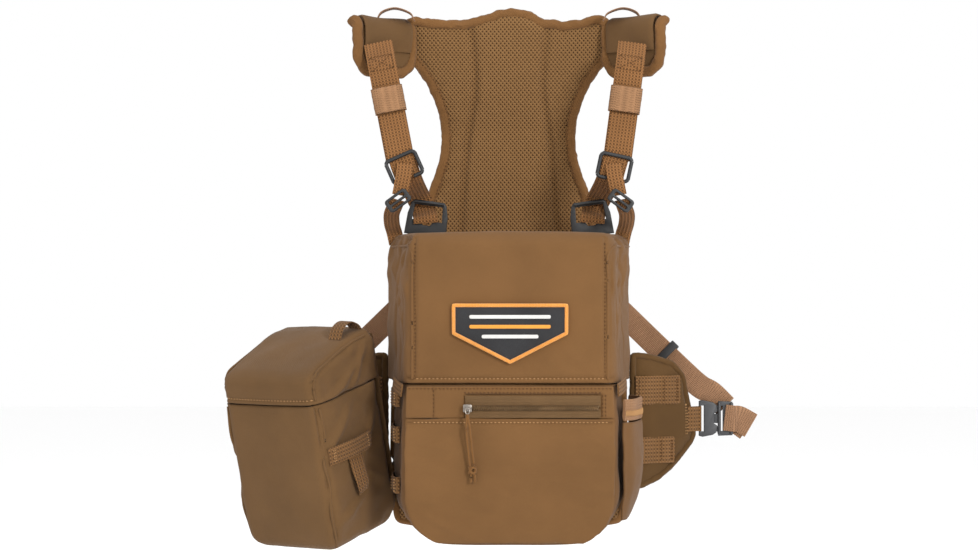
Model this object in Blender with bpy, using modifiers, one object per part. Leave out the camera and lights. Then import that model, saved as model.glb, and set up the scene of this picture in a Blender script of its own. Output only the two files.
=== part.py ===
"""Binocular harness pack: a chest pouch with a forward-opening lid and a zipped
front pocket, a mesh back yoke with shoulder webbing, belt wings with side-release
buckles, and a smaller accessory pouch on the left wing.  Metres, +Z up, wearer's
side towards +Y.  The origin is the middle of the shoulder line that carries it.
"""
import bpy, bmesh, math
from mathutils import Vector, Matrix

# ---------------------------------------------------------------- dimensions
GAP = 0.0004
LID_BOTTOM = -0.3045          # height of the lid's hinge seam
LID_HINGE_Y = -0.106
POUCH_BACK = 0.0
WALL = 0.003
WEB = 0.0016                  # webbing thickness
WEB_W = 0.0235                # one-inch webbing, slightly under nominal
BELT_W = 0.0200               # three-quarter-inch belt webbing
WING_YAW = {1: math.radians(30), -1: math.radians(35)}
WING_ROOT = (0.1045, 0.006)
ACC_POS = Vector((-0.1680, -0.0385, -0.350))
ACC_YAW, ACC_LEAN = math.radians(-35), math.radians(14)
ACC_W, ACC_D = 0.100, 0.088
ACC_HINGE = (-0.0478, 0.0395)   # local y, z
PLUG_TRAVEL = 0.022

for o in list(bpy.data.objects):
    bpy.data.objects.remove(o, do_unlink=True)
scene = bpy.context.scene
parts = bpy.data.collections.new("binocular_harness_pack")
cutters = bpy.data.collections.new("cutters")
scene.collection.children.link(parts)
scene.collection.children.link(cutters)

# ---------------------------------------------------------------- materials
def material(name, rgb, rough, metal=0.0):
    m = bpy.data.materials.new(name)
    m.use_nodes = True
    b = m.node_tree.nodes["Principled BSDF"]
    b.inputs["Base Color"].default_value = (*rgb, 1)
    b.inputs["Roughness"].default_value = rough
    b.inputs["Metallic"].default_value = metal
    return m

PALETTE = {
    "pack_cloth": ((0.26, 0.14, 0.06), 0.85), "yoke_mesh": ((0.30, 0.17, 0.07), 0.9),
    "binding": ((0.33, 0.18, 0.07), 0.8), "webbing": ((0.38, 0.20, 0.08), 0.85),
    "elastic": ((0.40, 0.24, 0.12), 0.8), "belt": ((0.30, 0.17, 0.09), 0.75),
    "pouch_cloth": ((0.16, 0.09, 0.035), 0.85), "wing_cloth": ((0.13, 0.07, 0.025), 0.85),
    "black_plastic": ((0.012, 0.012, 0.013), 0.4), "grey_plastic": ((0.06, 0.06, 0.07), 0.45),
    "zip_tape": ((0.25, 0.15, 0.07), 0.8), "zip_metal": ((0.35, 0.33, 0.3), 0.35),
    "patch_black": ((0.02, 0.02, 0.022), 0.95), "patch_amber": ((0.85, 0.36, 0.05), 0.7),
    "cord": ((0.24, 0.12, 0.04), 0.8),
}

def finish(o, kind, smooth=True):
    """Give the piece its own material and put it in the parts collection."""
    rgb, rough = PALETTE[kind]
    o.data.materials.append(material(o.name, rgb, rough, 0.9 if kind == "zip_metal" else 0.0))
    for c in list(o.users_collection):
        c.objects.unlink(o)
    parts.objects.link(o)
    if smooth and o.type == "MESH":
        o.data.shade_smooth()
        o.data.set_sharp_from_angle(angle=math.radians(40))
    return o

def from_bmesh(name, bm):
    me = bpy.data.meshes.new(name)
    bm.to_mesh(me)
    bm.free()
    o = bpy.data.objects.new(name, me)
    scene.collection.objects.link(o)
    return o

def at_joint(o, p):
    """Move the object's origin to a point on its joint's axis."""
    p = Vector(p)
    o.data.transform(Matrix.Translation(-p))
    o.location = p
    return o

# ---------------------------------------------------------------- solids
def box(name, kind, size, matrix, bevel=0.0, segments=2):
    bm = bmesh.new()
    bmesh.ops.create_cube(bm, size=1.0)
    bmesh.ops.scale(bm, vec=Vector(size), verts=bm.verts)
    o = from_bmesh(name, bm)
    o.data.transform(matrix)
    if bevel:
        b = o.modifiers.new("edges", "BEVEL")
        b.width, b.segments, b.limit_method = bevel, segments, "ANGLE"
    return finish(o, kind)

def place(loc, rz=0.0, ry=0.0, rx=0.0):
    return (Matrix.Translation(Vector(loc)) @ Matrix.Rotation(rz, 4, "Z")
            @ Matrix.Rotation(ry, 4, "Y") @ Matrix.Rotation(rx, 4, "X"))

def smooth_path(points, n):
    """Catmull-Rom curve through the route's points, n spans in all."""
    p = [Vector(q) for q in points]
    p = [2 * p[0] - p[1]] + p + [2 * p[-1] - p[-2]]
    spans = len(p) - 3
    out = []
    for i in range(n + 1):
        t = i / n * spans
        k = min(int(t), spans - 1)
        u = t - k
        a, b, c, d = p[k:k + 4]
        out.append(0.5 * ((2 * b) + (c - a) * u + (2 * a - 5 * b + 4 * c - d) * u * u
                          + (3 * b - a - 3 * c + d) * u ** 3))
    return out

def ribbon(name, kind, points, width, thick, facing, n=10, across=2):
    """Flat strap: an open surface along the path, thickened by Solidify."""
    path = smooth_path(points, n)
    bm = bmesh.new()
    rows = []
    for i, p in enumerate(path):
        t = (path[min(i + 1, n)] - path[max(i - 1, 0)]).normalized()
        f = Vector(facing(i / n) if callable(facing) else facing)
        side = t.cross(f).normalized()
        w = width(i / n) if callable(width) else width
        rows.append([bm.verts.new(p + side * w * (j / across - 0.5)) for j in range(across + 1)])
    for a, b in zip(rows, rows[1:]):
        for j in range(across):
            bm.faces.new((a[j], a[j + 1], b[j + 1], b[j]))
    o = from_bmesh(name, bm)
    s = o.modifiers.new("cloth", "SOLIDIFY")
    s.thickness, s.offset = thick, 0.0
    return finish(o, kind)

def loft(bm, rings, cap_first=False, cap_last=False):
    rows = [[bm.verts.new(Vector(p)) for p in r] for r in rings]
    n = len(rows[0])
    for a, b in zip(rows, rows[1:]):
        for i in range(n):
            bm.faces.new((a[i], a[(i + 1) % n], b[(i + 1) % n], b[i]))
    if cap_first:
        bm.faces.new(list(reversed(rows[0])))
    if cap_last:
        bm.faces.new(rows[-1])
    return rows

def plan(z, hf, hb, yf, yb, r=0.012, k=3, along=3):
    """Rounded trapezoid, narrower at the front, counter-clockwise from above."""
    c = [(-hf, yf), (hf, yf), (hb, yb), (-hb, yb)]
    pts = []
    for i in range(4):
        a, b, d = Vector(c[i - 1]), Vector(c[i]), Vector(c[(i + 1) % 4])
        u, v = (a - b).normalized(), (d - b).normalized()
        for j in range(k + 1):
            s = j / k
            q = b + u * r * (1 - s) ** 2 + v * r * s ** 2
            pts.append(q)
        e, f = b + v * r, d + (b - d).normalized() * r
        for j in range(1, along):
            pts.append(e.lerp(f, j / along))
    return [(p.x, p.y, z) for p in pts]

def tub(name, kind, rings, matrix, thick):
    bm = bmesh.new()
    loft(bm, rings, cap_first=True)
    bmesh.ops.recalc_face_normals(bm, faces=bm.faces)
    if sum(f.normal.dot(f.calc_center_median() - Vector((0, sum(p[1] for p in rings[2]) / len(rings[2]), rings[-1][0][2] / 2 + rings[0][0][2] / 2))) for f in bm.faces) < 0:
        bmesh.ops.reverse_faces(bm, faces=bm.faces)
    o = from_bmesh(name, bm)
    o.data.transform(matrix)
    s = o.modifiers.new("wall", "SOLIDIFY")
    s.thickness, s.offset = thick, -1.0
    return finish(o, kind)

def arch(y, hw, ztop, zbot, r, k=4, across=6, down=3):
    """Inverted U across the lid at one depth."""
    pts = [(-hw, y, zbot + (ztop - r - zbot) * j / down) for j in range(down)]
    for j in range(k + 1):
        a = math.pi - (math.pi / 2) * j / k
        pts.append((-hw + r + r * math.cos(a), y, ztop - r + r * math.sin(a)))
    for j in range(1, across):
        pts.append((-hw + r + (2 * hw - 2 * r) * j / across, y, ztop))
    return pts + [(-x, yy, z) for x, yy, z in reversed(pts[:down + k + 1])]

def lid(name, kind, sections, zbot, r, matrix, thick):
    """Hood open below and behind: arches from back to front, closed by a front wall."""
    bm = bmesh.new()
    rows = [[bm.verts.new(Vector(p)) for p in arch(y, hw, zt, zbot, r)] for y, hw, zt in sections]
    for a, b in zip(rows, rows[1:]):
        for i in range(len(a) - 1):
            bm.faces.new((a[i], a[i + 1], b[i + 1], b[i]))
    bm.faces.new(rows[-1])
    bmesh.ops.recalc_face_normals(bm, faces=bm.faces)
    top = max(bm.faces, key=lambda f: f.calc_center_median().z)
    if top.normal.z < 0:
        bmesh.ops.reverse_faces(bm, faces=bm.faces)
    o = from_bmesh(name, bm)
    o.data.transform(matrix)
    s = o.modifiers.new("wall", "SOLIDIFY")
    s.thickness, s.offset = thick, -1.0
    return finish(o, kind)

def outline(name, kind, loops, thick, matrix):
    """Flat plate: filled 2D curve with an extrude; later loops are holes."""
    cu = bpy.data.curves.new(name, "CURVE")
    cu.dimensions, cu.fill_mode = "2D", "BOTH"
    cu.extrude = thick / 2
    for lp in loops:
        sp = cu.splines.new("POLY")
        sp.points.add(len(lp) - 1)
        for q, (x, y) in zip(sp.points, lp):
            q.co = (x, y, 0, 1)
        sp.use_cyclic_u = True
    tmp = bpy.data.objects.new(name + "_curve", cu)
    scene.collection.objects.link(tmp)
    dg = bpy.context.evaluated_depsgraph_get()
    me = bpy.data.meshes.new_from_object(tmp.evaluated_get(dg))
    bpy.data.objects.remove(tmp, do_unlink=True)
    bpy.data.curves.remove(cu)
    bm = bmesh.new()
    bm.from_mesh(me)
    bpy.data.meshes.remove(me)
    bmesh.ops.remove_doubles(bm, verts=bm.verts, dist=0.00002)
    bmesh.ops.recalc_face_normals(bm, faces=bm.faces)
    o = from_bmesh(name, bm)
    o.data.transform(matrix)
    return finish(o, kind)

def rounded(w, h, r, k=3, cx=0.0, cy=0.0):
    pts = []
    for sx, sy, a0 in ((1, 1, 0), (-1, 1, 90), (-1, -1, 180), (1, -1, 270)):
        for j in range(k + 1):
            a = math.radians(a0 + 90 * j / k)
            pts.append((cx + sx * (w / 2 - r) + r * math.cos(a), cy + sy * (h / 2 - r) + r * math.sin(a)))
    return pts

def upright(loc, roll=0.0, yaw=0.0):
    """Stands a flat plate up: its own x runs along +X and its own y along +Z."""
    return (Matrix.Translation(Vector(loc)) @ Matrix.Rotation(yaw, 4, "Z")
            @ Matrix.Rotation(math.radians(90), 4, "X") @ Matrix.Rotation(roll, 4, "Z"))

def tube(name, kind, points, radius):
    cu = bpy.data.curves.new(name, "CURVE")
    cu.dimensions = "3D"
    cu.bevel_depth, cu.bevel_resolution, cu.use_fill_caps = radius, 2, True
    cu.render_resolution_u = 0
    sp = cu.splines.new("POLY")
    sp.points.add(len(points) - 1)
    for q, p in zip(sp.points, points):
        q.co = (*p, 1)
    o = bpy.data.objects.new(name, cu)
    scene.collection.objects.link(o)
    return finish(o, kind)

def cut(o, cutter_name, size, matrix, op="DIFFERENCE"):
    bm = bmesh.new()
    bmesh.ops.create_cube(bm, size=1.0)
    bmesh.ops.scale(bm, vec=Vector(size), verts=bm.verts)
    c = from_bmesh(cutter_name, bm)
    c.data.transform(matrix)
    scene.collection.objects.unlink(c)
    cutters.objects.link(c)
    c.hide_render, c.display_type = True, "WIRE"
    b = o.modifiers.new(cutter_name, "BOOLEAN")
    b.operation, b.solver, b.object = op, "EXACT", c
    return o

I4 = Matrix.Identity(4)

# ================================================================ main pouch
BODY_RINGS = [
    plan(-0.4365, 0.045, 0.050, -0.086, -0.016), plan(-0.4350, 0.060, 0.066, -0.093, -0.008),
    plan(-0.4290, 0.075, 0.081, -0.098, -0.003), plan(-0.4150, 0.084, 0.091, -0.100, -0.001),
    plan(-0.3950, 0.0880, 0.0965, -0.100, 0.0), plan(-0.3600, 0.0880, 0.0985, -0.100, 0.0),
    plan(-0.3090, 0.0860, 0.0985, -0.100, 0.0), plan(-0.3060, 0.0800, 0.0930, -0.0945, -0.0050),
    plan(-0.2550, 0.0760, 0.0930, -0.0945, -0.0050), plan(-0.2000, 0.0740, 0.0930, -0.0945, -0.0050)]
tub("main_body", "pack_cloth", BODY_RINGS, I4, 0.0025)

LID_SECTIONS = [(-0.0005, 0.1032, -0.1865), (-0.020, 0.1018, -0.1825), (-0.050, 0.0982, -0.1810),
                (-0.080, 0.0925, -0.1822), (-0.092, 0.0895, -0.1850), (-0.099, 0.0865, -0.1895),
                (-0.101, 0.0835, -0.1950)]
at_joint(lid("main_lid", "pack_cloth", LID_SECTIONS, LID_BOTTOM, 0.014, I4, 0.0025), (0, LID_HINGE_Y, LID_BOTTOM))

box("back_panel", "pack_cloth", (0.194, 0.0110, 0.240), place((0, 0.0060, -0.3085)), 0.004, 3)

POCKET = [(-0.0845, -0.3085), (0.0845, -0.3085), (0.0865, -0.350), (0.0865, -0.392), (0.081, -0.413),
          (0.071, -0.426), (0.055, -0.4325), (0.0, -0.4345), (-0.055, -0.4325), (-0.071, -0.426),
          (-0.081, -0.413), (-0.0865, -0.392), (-0.0865, -0.350)]
outline("front_pocket", "pack_cloth", [POCKET], 0.0040, upright((0, -0.1028, 0)))
box("zip_tape", "zip_tape", (0.110, 0.0012, 0.0185), place((0.0180, -0.1058, -0.3230)))
box("zip_coil", "zip_metal", (0.106, 0.0022, 0.0040), place((0.0190, -0.10795, -0.3245)), 0.0006)
SLIDER = (-0.0345, -0.1112, -0.3245)
at_joint(box("zip_slider", "zip_metal", (0.0085, 0.0030, 0.0085), place(SLIDER), 0.0010), SLIDER)
CORD = smooth_path([(-0.0345, -0.1150, -0.3290), (-0.0336, -0.1154, -0.345), (-0.0318, -0.1152, -0.362),
                    (-0.0306, -0.1150, -0.3720), (-0.0298, -0.1150, -0.3840)], 14)
at_joint(tube("zip_pull_cord", "cord", CORD, 0.0014), CORD[0])

PATCH = [(-0.0475, -0.2405), (0.0475, -0.2405), (0.0475, -0.2640), (0.0, -0.2890), (-0.0475, -0.2640)]
def inset(pts, d):
    c = Vector((0, -0.2600))
    return [tuple(c + (Vector(p) - c) * (1 - d / (Vector(p) - c).length)) for p in pts]
LID_AXIS = (0, LID_HINGE_Y, LID_BOTTOM)
at_joint(outline("patch_field", "patch_black", [inset(PATCH, 0.0042)], 0.0010, upright((0, -0.1020, 0))), LID_AXIS)
at_joint(outline("patch_border", "patch_amber", [PATCH, inset(PATCH, 0.0036)], 0.0016, upright((0, -0.1023, 0))), LID_AXIS)

# side webbing loops on the left, and the stretch sleeve on the right
for i, z in enumerate((-0.3180, -0.3475, -0.3890)):
    ribbon(f"side_loop_{i + 1}", "webbing",
           [(-0.0915, -0.082, z), (-0.0945, -0.078, z), (-0.0968, -0.055, z), (-0.0976, -0.036, z), (-0.0968, -0.024, z)],
           0.0130, 0.0014, lambda t: (-1, -0.1, 0), n=8)
ribbon("side_sleeve", "pack_cloth",
       [(0.0925, -0.092, -0.3770), (0.1015, -0.080, -0.3770), (0.1075, -0.050, -0.3770), (0.1080, -0.025, -0.3770), (0.1010, -0.004, -0.3770)],
       0.080, 0.0018, lambda t: (1, -0.15, 0), n=12)
ribbon("sleeve_elastic", "elastic",
       [(0.0925, -0.092, -0.3268), (0.1015, -0.080, -0.3268), (0.1075, -0.050, -0.3268), (0.1080, -0.025, -0.3268), (0.1010, -0.004, -0.3268)],
       0.0170, 0.0022, lambda t: (1, -0.15, 0), n=12)

# ================================================================ yoke
YOKE = [(-0.208, 0.070), (-0.190, 0.0765), (-0.170, 0.0745), (-0.147, 0.0665), (-0.128, 0.0595), (-0.1125, 0.0550),
        (-0.096, 0.0540), (-0.080, 0.0555), (-0.066, 0.0595), (-0.052, 0.0655), (-0.038, 0.0745),
        (-0.028, 0.0800), (-0.012, 0.0800), (0.004, 0.0790)]

def yoke_y(x, z):
    """The pad's depth: bowed over the back, closer to the chest at the shoulders."""
    return 0.072 - 0.26 * max(z + 0.09, 0) - 1.2 * x * x

bm = bmesh.new()
rows = []
for z, hw in YOKE:
    rows.append([bm.verts.new((hw * (j / 5 - 1), yoke_y(hw * (j / 5 - 1), z), z + (0.006 * math.cos(hw * (j / 5 - 1) * 60) if z > 0 else 0))) for j in range(11)])
for a, b in zip(rows, rows[1:]):
    for j in range(10):
        bm.faces.new((a[j], a[j + 1], b[j + 1], b[j]))
o = from_bmesh("yoke_pad", bm)
s = o.modifiers.new("pad", "SOLIDIFY")
s.thickness, s.offset = 0.0070, 0.0
finish(o, "yoke_mesh")

for tag, sx in (("l", -1), ("r", 1)):
    # shoulder lobe: rounded pad that folds forward over the shoulder
    lobe = rounded(0.0660, 0.0470, 0.016, 4)
    yaw = -sx * math.radians(44)
    outline(f"shoulder_lobe_{tag}", "pack_cloth", [lobe], 0.0070, upright((sx * 0.1065, 0.0150, -0.0215), 0.0, yaw))
    ribbon(f"grab_loop_{tag}", "belt",
           [(sx * 0.0900, 0.022, 0.0034), (sx * 0.0915, 0.022, 0.0095), (sx * 0.0990, 0.021, 0.0145),
            (sx * 0.1080, 0.020, 0.0110), (sx * 0.1110, 0.019, 0.0034)],
           0.0150, 0.0010, lambda t, sx=sx: (sx * (t - 0.5) * 2, 0, 1.0 - abs(t - 0.5)), n=12)
    # webbing runs straight from the lobe's face to the frame
    if sx < 0:
        top, bot = Vector((-0.1090, -0.0190, -0.0300)), Vector((-0.0915, -0.0300, -0.1200))
    else:
        top, bot = Vector((0.1030, -0.0190, -0.0300)), Vector((0.0905, -0.0300, -0.1200))
    run = (bot - top)
    mid = top.lerp(bot, 0.5)
    ribbon(f"shoulder_webbing_{tag}", "webbing", [top, top.lerp(bot, 0.33), top.lerp(bot, 0.67), bot], WEB_W, WEB, (0, -1, 0), n=4)
    # elastic keeper: a flat sleeve around the webbing
    d = run.normalized()
    kx = Vector((0, -1, 0)).cross(d).normalized()
    ky = d.cross(kx).normalized()
    km = Matrix.Translation(top.lerp(bot, 0.44)) @ Matrix((kx, ky, d)).transposed().to_4x4()
    k_o = outline(f"webbing_keeper_{tag}", "elastic",
                  [rounded(WEB_W + 0.0042, WEB + 0.0042, 0.0014, 2), rounded(WEB_W + 0.0016, WEB + 0.0016, 0.0006, 1)], 0.0210, km)
    at_joint(k_o, top.lerp(bot, 0.44))
    # frame in front of the webbing, with two windows
    fl = math.radians(-24 if sx < 0 else 12)
    fr = [rounded(0.0285, 0.0225, 0.0035, 2), rounded(0.0235, 0.0165, 0.0015, 1)]
    outline(f"upper_frame_{tag}", "black_plastic", fr, 0.0030,
            upright((sx * 0.0880, -0.0338, -0.1265), -fl, 0))
    ribbon(f"lower_strap_{tag}", "webbing",
           [(sx * 0.0865, -0.0285, -0.1245), (sx * 0.0815, -0.0180, -0.1420), (sx * 0.0760, -0.0030, -0.1570), (sx * 0.0730, 0.0010, -0.1640)],
           0.0200, WEB, (0, -1, 0), n=8)
    at_b = [[(-0.0165, -0.0120), (0.0165, -0.0120), (0.0125, 0.0105), (0.0110, 0.0120), (-0.0110, 0.0120), (-0.0125, 0.0105)],
            [(-0.0105, -0.0010), (0.0105, -0.0010), (0.0095, 0.0085), (-0.0095, 0.0085)]]
    outline(f"attach_buckle_{tag}", "black_plastic", at_b, 0.0040,
            upright((sx * 0.0700, 0.0058, -0.1715), sx * math.radians(8), 0))
    # tether: short web, small adjuster, tail to the pouch's top corner
    ribbon(f"tether_web_{tag}", "webbing",
           [(sx * 0.0880, -0.0370, -0.1300), (sx * 0.0886, -0.0380, -0.1370), (sx * 0.0890, -0.0385, -0.1430)], 0.0120, 0.0014, (0, -1, 0), n=4)
    outline(f"tether_adjuster_{tag}", "grey_plastic",
            [rounded(0.0215, 0.0110, 0.003, 2), rounded(0.0145, 0.0045, 0.001, 1)], 0.0030,
            upright((sx * 0.0930, -0.0385, -0.1545), sx * math.radians(-20), 0))
    ribbon(f"tether_tail_{tag}", "webbing",
           [(sx * 0.0950, -0.0350, -0.1594), (sx * 0.0975, -0.0260, -0.1636), (sx * 0.0985, -0.0080, -0.1720), (sx * 0.0970, 0.0050, -0.1800), (sx * 0.0950, 0.0060, -0.1875)],
           0.0130, 0.0014, lambda t: (0, -1, -1.7 * math.cos(math.pi / 2 * t * t)), n=12)

# ================================================================ belt wings
WING = [(0.0, -0.2830), (0.018, -0.2850), (0.041, -0.2910), (0.0520, -0.3020), (0.0640, -0.3540), (0.0615, -0.3600),
        (0.0430, -0.3790), (0.0270, -0.3910), (0.0080, -0.3980), (0.0, -0.3980)]
for tag, sx in (("l", -1), ("r", 1)):
    yaw = sx * WING_YAW[sx]
    base = Matrix.Translation(Vector((sx * WING_ROOT[0], WING_ROOT[1], 0))) @ Matrix.Rotation(yaw, 4, "Z")
    stand = base @ Matrix.Rotation(math.radians(90), 4, "X")
    outline(f"wing_{tag}", "wing_cloth", [[(sx * x, z) for x, z in WING]], 0.0070, stand)
    for k, (z, h, a, b) in enumerate(((-0.3150, 0.0240, 0.004, 0.046), (-0.3660, 0.0220, 0.006, 0.040))):
        if sx > 0: box(f"wing_webbing_{tag}_{k + 1}", "webbing", (b - a, 0.0014, h), base @ place((sx * (a + b) / 2, -0.0046, z)))
    # side-release buckle: the housing stays on the wing, the plug slides out
    end = base @ Vector((sx * 0.0648, 0, -0.3405))
    by, bx, bz = end.y + 0.0012, abs(end.x) + 0.0036, -0.3405
    ribbon(f"buckle_tab_{tag}", "webbing", [end, (sx * (bx - 0.0018), by - 0.0006, bz), (sx * (bx - 0.0004), by, bz)],
           BELT_W, 0.0016, (0, -1, 0), n=3)
    f_o = box(f"buckle_housing_{tag}", "grey_plastic", (0.0150, 0.0066, 0.0300), place((sx * (bx + 0.0075), by, bz)), 0.0012)
    cut(f_o, f"housing_mouth_{tag}", (0.0130, 0.0032, 0.0240), place((sx * (bx + 0.0095), by, bz)))
    # plug: a strap bar with a tongue that fills the housing's mouth
    plug = [(0.0036, -0.0112), (0.0156, -0.0112), (0.0156, -0.0145), (0.0280, -0.0145), (0.0280, 0.0145),
            (0.0156, 0.0145), (0.0156, 0.0112), (0.0036, 0.0112), (0.0036, 0.0070), (0.0100, 0.0050),
            (0.0100, -0.0050), (0.0036, -0.0070)]
    slot = [(0.0205, -0.0108), (0.0250, -0.0108), (0.0250, 0.0108), (0.0205, 0.0108)]
    p_o = outline(f"buckle_plug_{tag}", "grey_plastic", [[(sx * (bx + a), bz + b) for a, b in plug], [(sx * (bx + a), bz + b) for a, b in slot]],
                  0.0024, upright((0, by, 0)))
    at_joint(p_o, (sx * bx, by, bz))
    tail_o = ribbon(f"belt_tail_{tag}", "belt",
                    [(sx * (bx + 0.0300), by, bz), (sx * (bx + 0.0345), by + 0.0004, bz - 0.0001), (sx * (bx + 0.0450), by - 0.0005, bz - 0.0050)],
                    0.0220, 0.0034, (0, -1, 0), n=4)
    at_joint(tail_o, (sx * bx, by, bz))
    # belt strap from the yoke's lower corner to just behind the buckle
    a, b = Vector((sx * 0.1058, 0.0640, -0.2558)), Vector((sx * 0.1470, 0.0520, -0.2960))
    ribbon(f"belt_strap_{tag}", "belt",
           [(sx * 0.0560, 0.0765, -0.2040), (sx * 0.0830, 0.0720, -0.2330), a, b, (sx * 0.1650, by + 0.0080, -0.3125), (sx * 0.1760, by + 0.0070, -0.3190)],
           BELT_W, 0.0015, (0, -1, 0), n=16)
    d = (b - a).normalized()
    kx = Vector((0, -1, 0)).cross(d).normalized()
    ky = d.cross(kx).normalized()
    at = a.lerp(b, 0.74)
    km = Matrix.Translation(at) @ Matrix((kx, ky, d)).transposed().to_4x4()
    at_joint(outline(f"belt_keeper_{tag}", "black_plastic",
                     [rounded(BELT_W + 0.0062, 0.0090, 0.0010, 2), rounded(BELT_W + 0.0030, 0.0062, 0.0006, 1)], 0.0070, km), at)

# ================================================================ accessory pouch
ACC = Matrix.Translation(ACC_POS) @ Matrix.Rotation(ACC_YAW, 4, "Z") @ Matrix.Rotation(ACC_LEAN, 4, "X")
w, d = ACC_W / 2, ACC_D / 2
ACC_RINGS = [
    plan(-0.0890, w - 0.022, w - 0.022, -d + 0.014, d - 0.014, 0.008), plan(-0.0875, w - 0.012, w - 0.012, -d + 0.007, d - 0.007, 0.008),
    plan(-0.0810, w - 0.005, w - 0.005, -d + 0.002, d - 0.002, 0.008), plan(-0.0650, w - 0.001, w - 0.001, -d, d, 0.008),
    plan(0.0360, w, w, -d, d, 0.008), plan(0.0385, w - 0.0045, w - 0.0045, -d + 0.0045, d - 0.0045, 0.008),
    plan(0.0500, w - 0.0050, w - 0.0050, -d + 0.0050, d - 0.0050, 0.008)]
tub("accessory_body", "pouch_cloth", ACC_RINGS, ACC, 0.0022)
ACC_LID = [(d - 0.0005, w, 0.0800), (d - 0.020, w, 0.0790), (0.0, w, 0.0740), (-d + 0.020, w, 0.0670),
           (-d + 0.008, w - 0.001, 0.0620), (-d + 0.002, w - 0.003, 0.0575), (-d, w - 0.006, 0.0520)]
HINGE = ACC @ Vector((0, ACC_HINGE[0], ACC_HINGE[1]))
at_joint(lid("accessory_lid", "pouch_cloth", ACC_LID, 0.0395, 0.010, ACC, 0.0022), HINGE)
box("accessory_back", "pouch_cloth", (0.094, 0.0030, 0.1500), ACC @ place((0, d + 0.0024, 0.0020)), 0.0010, 2)
ribbon("accessory_side_band", "webbing",
       [ACC @ Vector((w + 0.0010, -0.030, -0.006)), ACC @ Vector((w + 0.0040, -0.022, -0.006)), ACC @ Vector((w + 0.0040, 0.004, -0.006)), ACC @ Vector((w + 0.0010, 0.012, -0.006))],
       0.0140, 0.0012, lambda t: ACC.to_3x3() @ Vector((1, 0, 0)), n=8)
ribbon("accessory_hang_loop", "webbing",
       [ACC @ Vector((w + 0.0014, -0.010, -0.0145)), ACC @ Vector((w + 0.0030, -0.010, -0.0280)), ACC @ Vector((w + 0.0018, -0.009, -0.0440))],
       0.0180, 0.0016, lambda t: ACC.to_3x3() @ Vector((1, 0, 0)), n=5)
ribbon("accessory_mount_strap", "webbing",
       [ACC @ Vector((0.0, d + 0.0052, 0.0500)), ACC @ Vector((0.0, d + 0.0052, 0.0000)), ACC @ Vector((0.0, d + 0.0052, -0.0500))],
       0.0235, 0.0014, lambda t: ACC.to_3x3() @ Vector((0, 1, 0)), n=6)
at_joint(ribbon("accessory_pull_loop", "belt",
       [ACC @ Vector((0.033, 0.0170, 0.0803)), ACC @ Vector((0.033, 0.0220, 0.0880)), ACC @ Vector((0.033, 0.0320, 0.0895)), ACC @ Vector((0.033, 0.0375, 0.0812))],
       0.0120, 0.0010, lambda t: ACC.to_3x3() @ Vector((0, (t - 0.5) * 2, 1.0 - abs(t - 0.5))), n=10), HINGE)
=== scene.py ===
import bpy, bmesh, math
from mathutils import Vector, Matrix, noise
from mathutils.bvhtree import BVHTree


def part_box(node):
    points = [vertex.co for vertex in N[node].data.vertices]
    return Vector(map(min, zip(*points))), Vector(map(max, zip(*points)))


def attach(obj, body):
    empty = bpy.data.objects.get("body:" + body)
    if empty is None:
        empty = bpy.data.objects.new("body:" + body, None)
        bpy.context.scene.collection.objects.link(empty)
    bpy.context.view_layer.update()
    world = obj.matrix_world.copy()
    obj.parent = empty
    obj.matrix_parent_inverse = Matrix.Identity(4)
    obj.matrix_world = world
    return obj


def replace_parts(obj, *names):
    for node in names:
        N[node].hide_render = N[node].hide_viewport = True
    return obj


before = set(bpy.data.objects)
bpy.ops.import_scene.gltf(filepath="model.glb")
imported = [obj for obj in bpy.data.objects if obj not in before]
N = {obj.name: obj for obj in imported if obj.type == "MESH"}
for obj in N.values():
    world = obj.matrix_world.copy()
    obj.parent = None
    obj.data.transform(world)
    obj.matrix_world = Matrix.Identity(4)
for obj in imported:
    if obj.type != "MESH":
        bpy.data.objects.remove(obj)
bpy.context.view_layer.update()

scene = bpy.context.scene
COL = scene.collection
ROOT = "harness"

# ------------------------------------------------------------------ camera and stage
cam = bpy.data.objects.new("camera", bpy.data.cameras.new("camera"))
COL.objects.link(cam)
cam.location = (-0.01706, -2.3075, -0.2166)
cam.rotation_euler = (math.radians(90), 0, 0)
cam.data.lens, cam.data.sensor_width = 100, 36
scene.camera = cam

def area(name, loc, size, power, aim=(0, 0, -0.22)):
    l = bpy.data.lights.new(name, "AREA")
    l.shape, l.size, l.energy = "SQUARE", size, power
    o = bpy.data.objects.new(name, l)
    COL.objects.link(o)
    o.location = loc
    o.rotation_euler = (Vector(aim) - Vector(loc)).to_track_quat("-Z", "Y").to_euler()
area("key", (1.25, -2.3, 0.55), 0.45, 46)
area("fill", (-1.7, -1.9, 0.3), 1.6, 9)
area("top", (0.1, -0.5, 1.8), 1.2, 14)
area("back", (0.3, 1.8, 0.8), 1.6, 6)
world = bpy.data.worlds.new("studio")
scene.world = world
world.use_nodes = True
world.node_tree.nodes["Background"].inputs[0].default_value = (1, 1, 1, 1)
world.node_tree.nodes["Background"].inputs[1].default_value = 1.0
scene.view_settings.view_transform = "Standard"

# ------------------------------------------------------------------ materials
def mat_new(name, rough, metal=0.0, sheen=0.0, spec=0.35):
    m = bpy.data.materials.new(name)
    m.use_nodes = True
    b = m.node_tree.nodes["Principled BSDF"]
    b.inputs["Roughness"].default_value = rough
    b.inputs["Metallic"].default_value = metal
    b.inputs["Sheen Weight"].default_value = sheen
    b.inputs["Sheen Roughness"].default_value = 0.5
    b.inputs["Specular IOR Level"].default_value = spec
    return m, m.node_tree.nodes, m.node_tree.links, b

def mathn(n, l, op, a, b=None):
    x = n.new("ShaderNodeMath")
    x.operation = op
    for i, v in enumerate((a, b)):
        if v is None:
            continue
        if isinstance(v, (int, float)):
            x.inputs[i].default_value = v
        else:
            l.new(v, x.inputs[i])
    return x.outputs[0]

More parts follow.
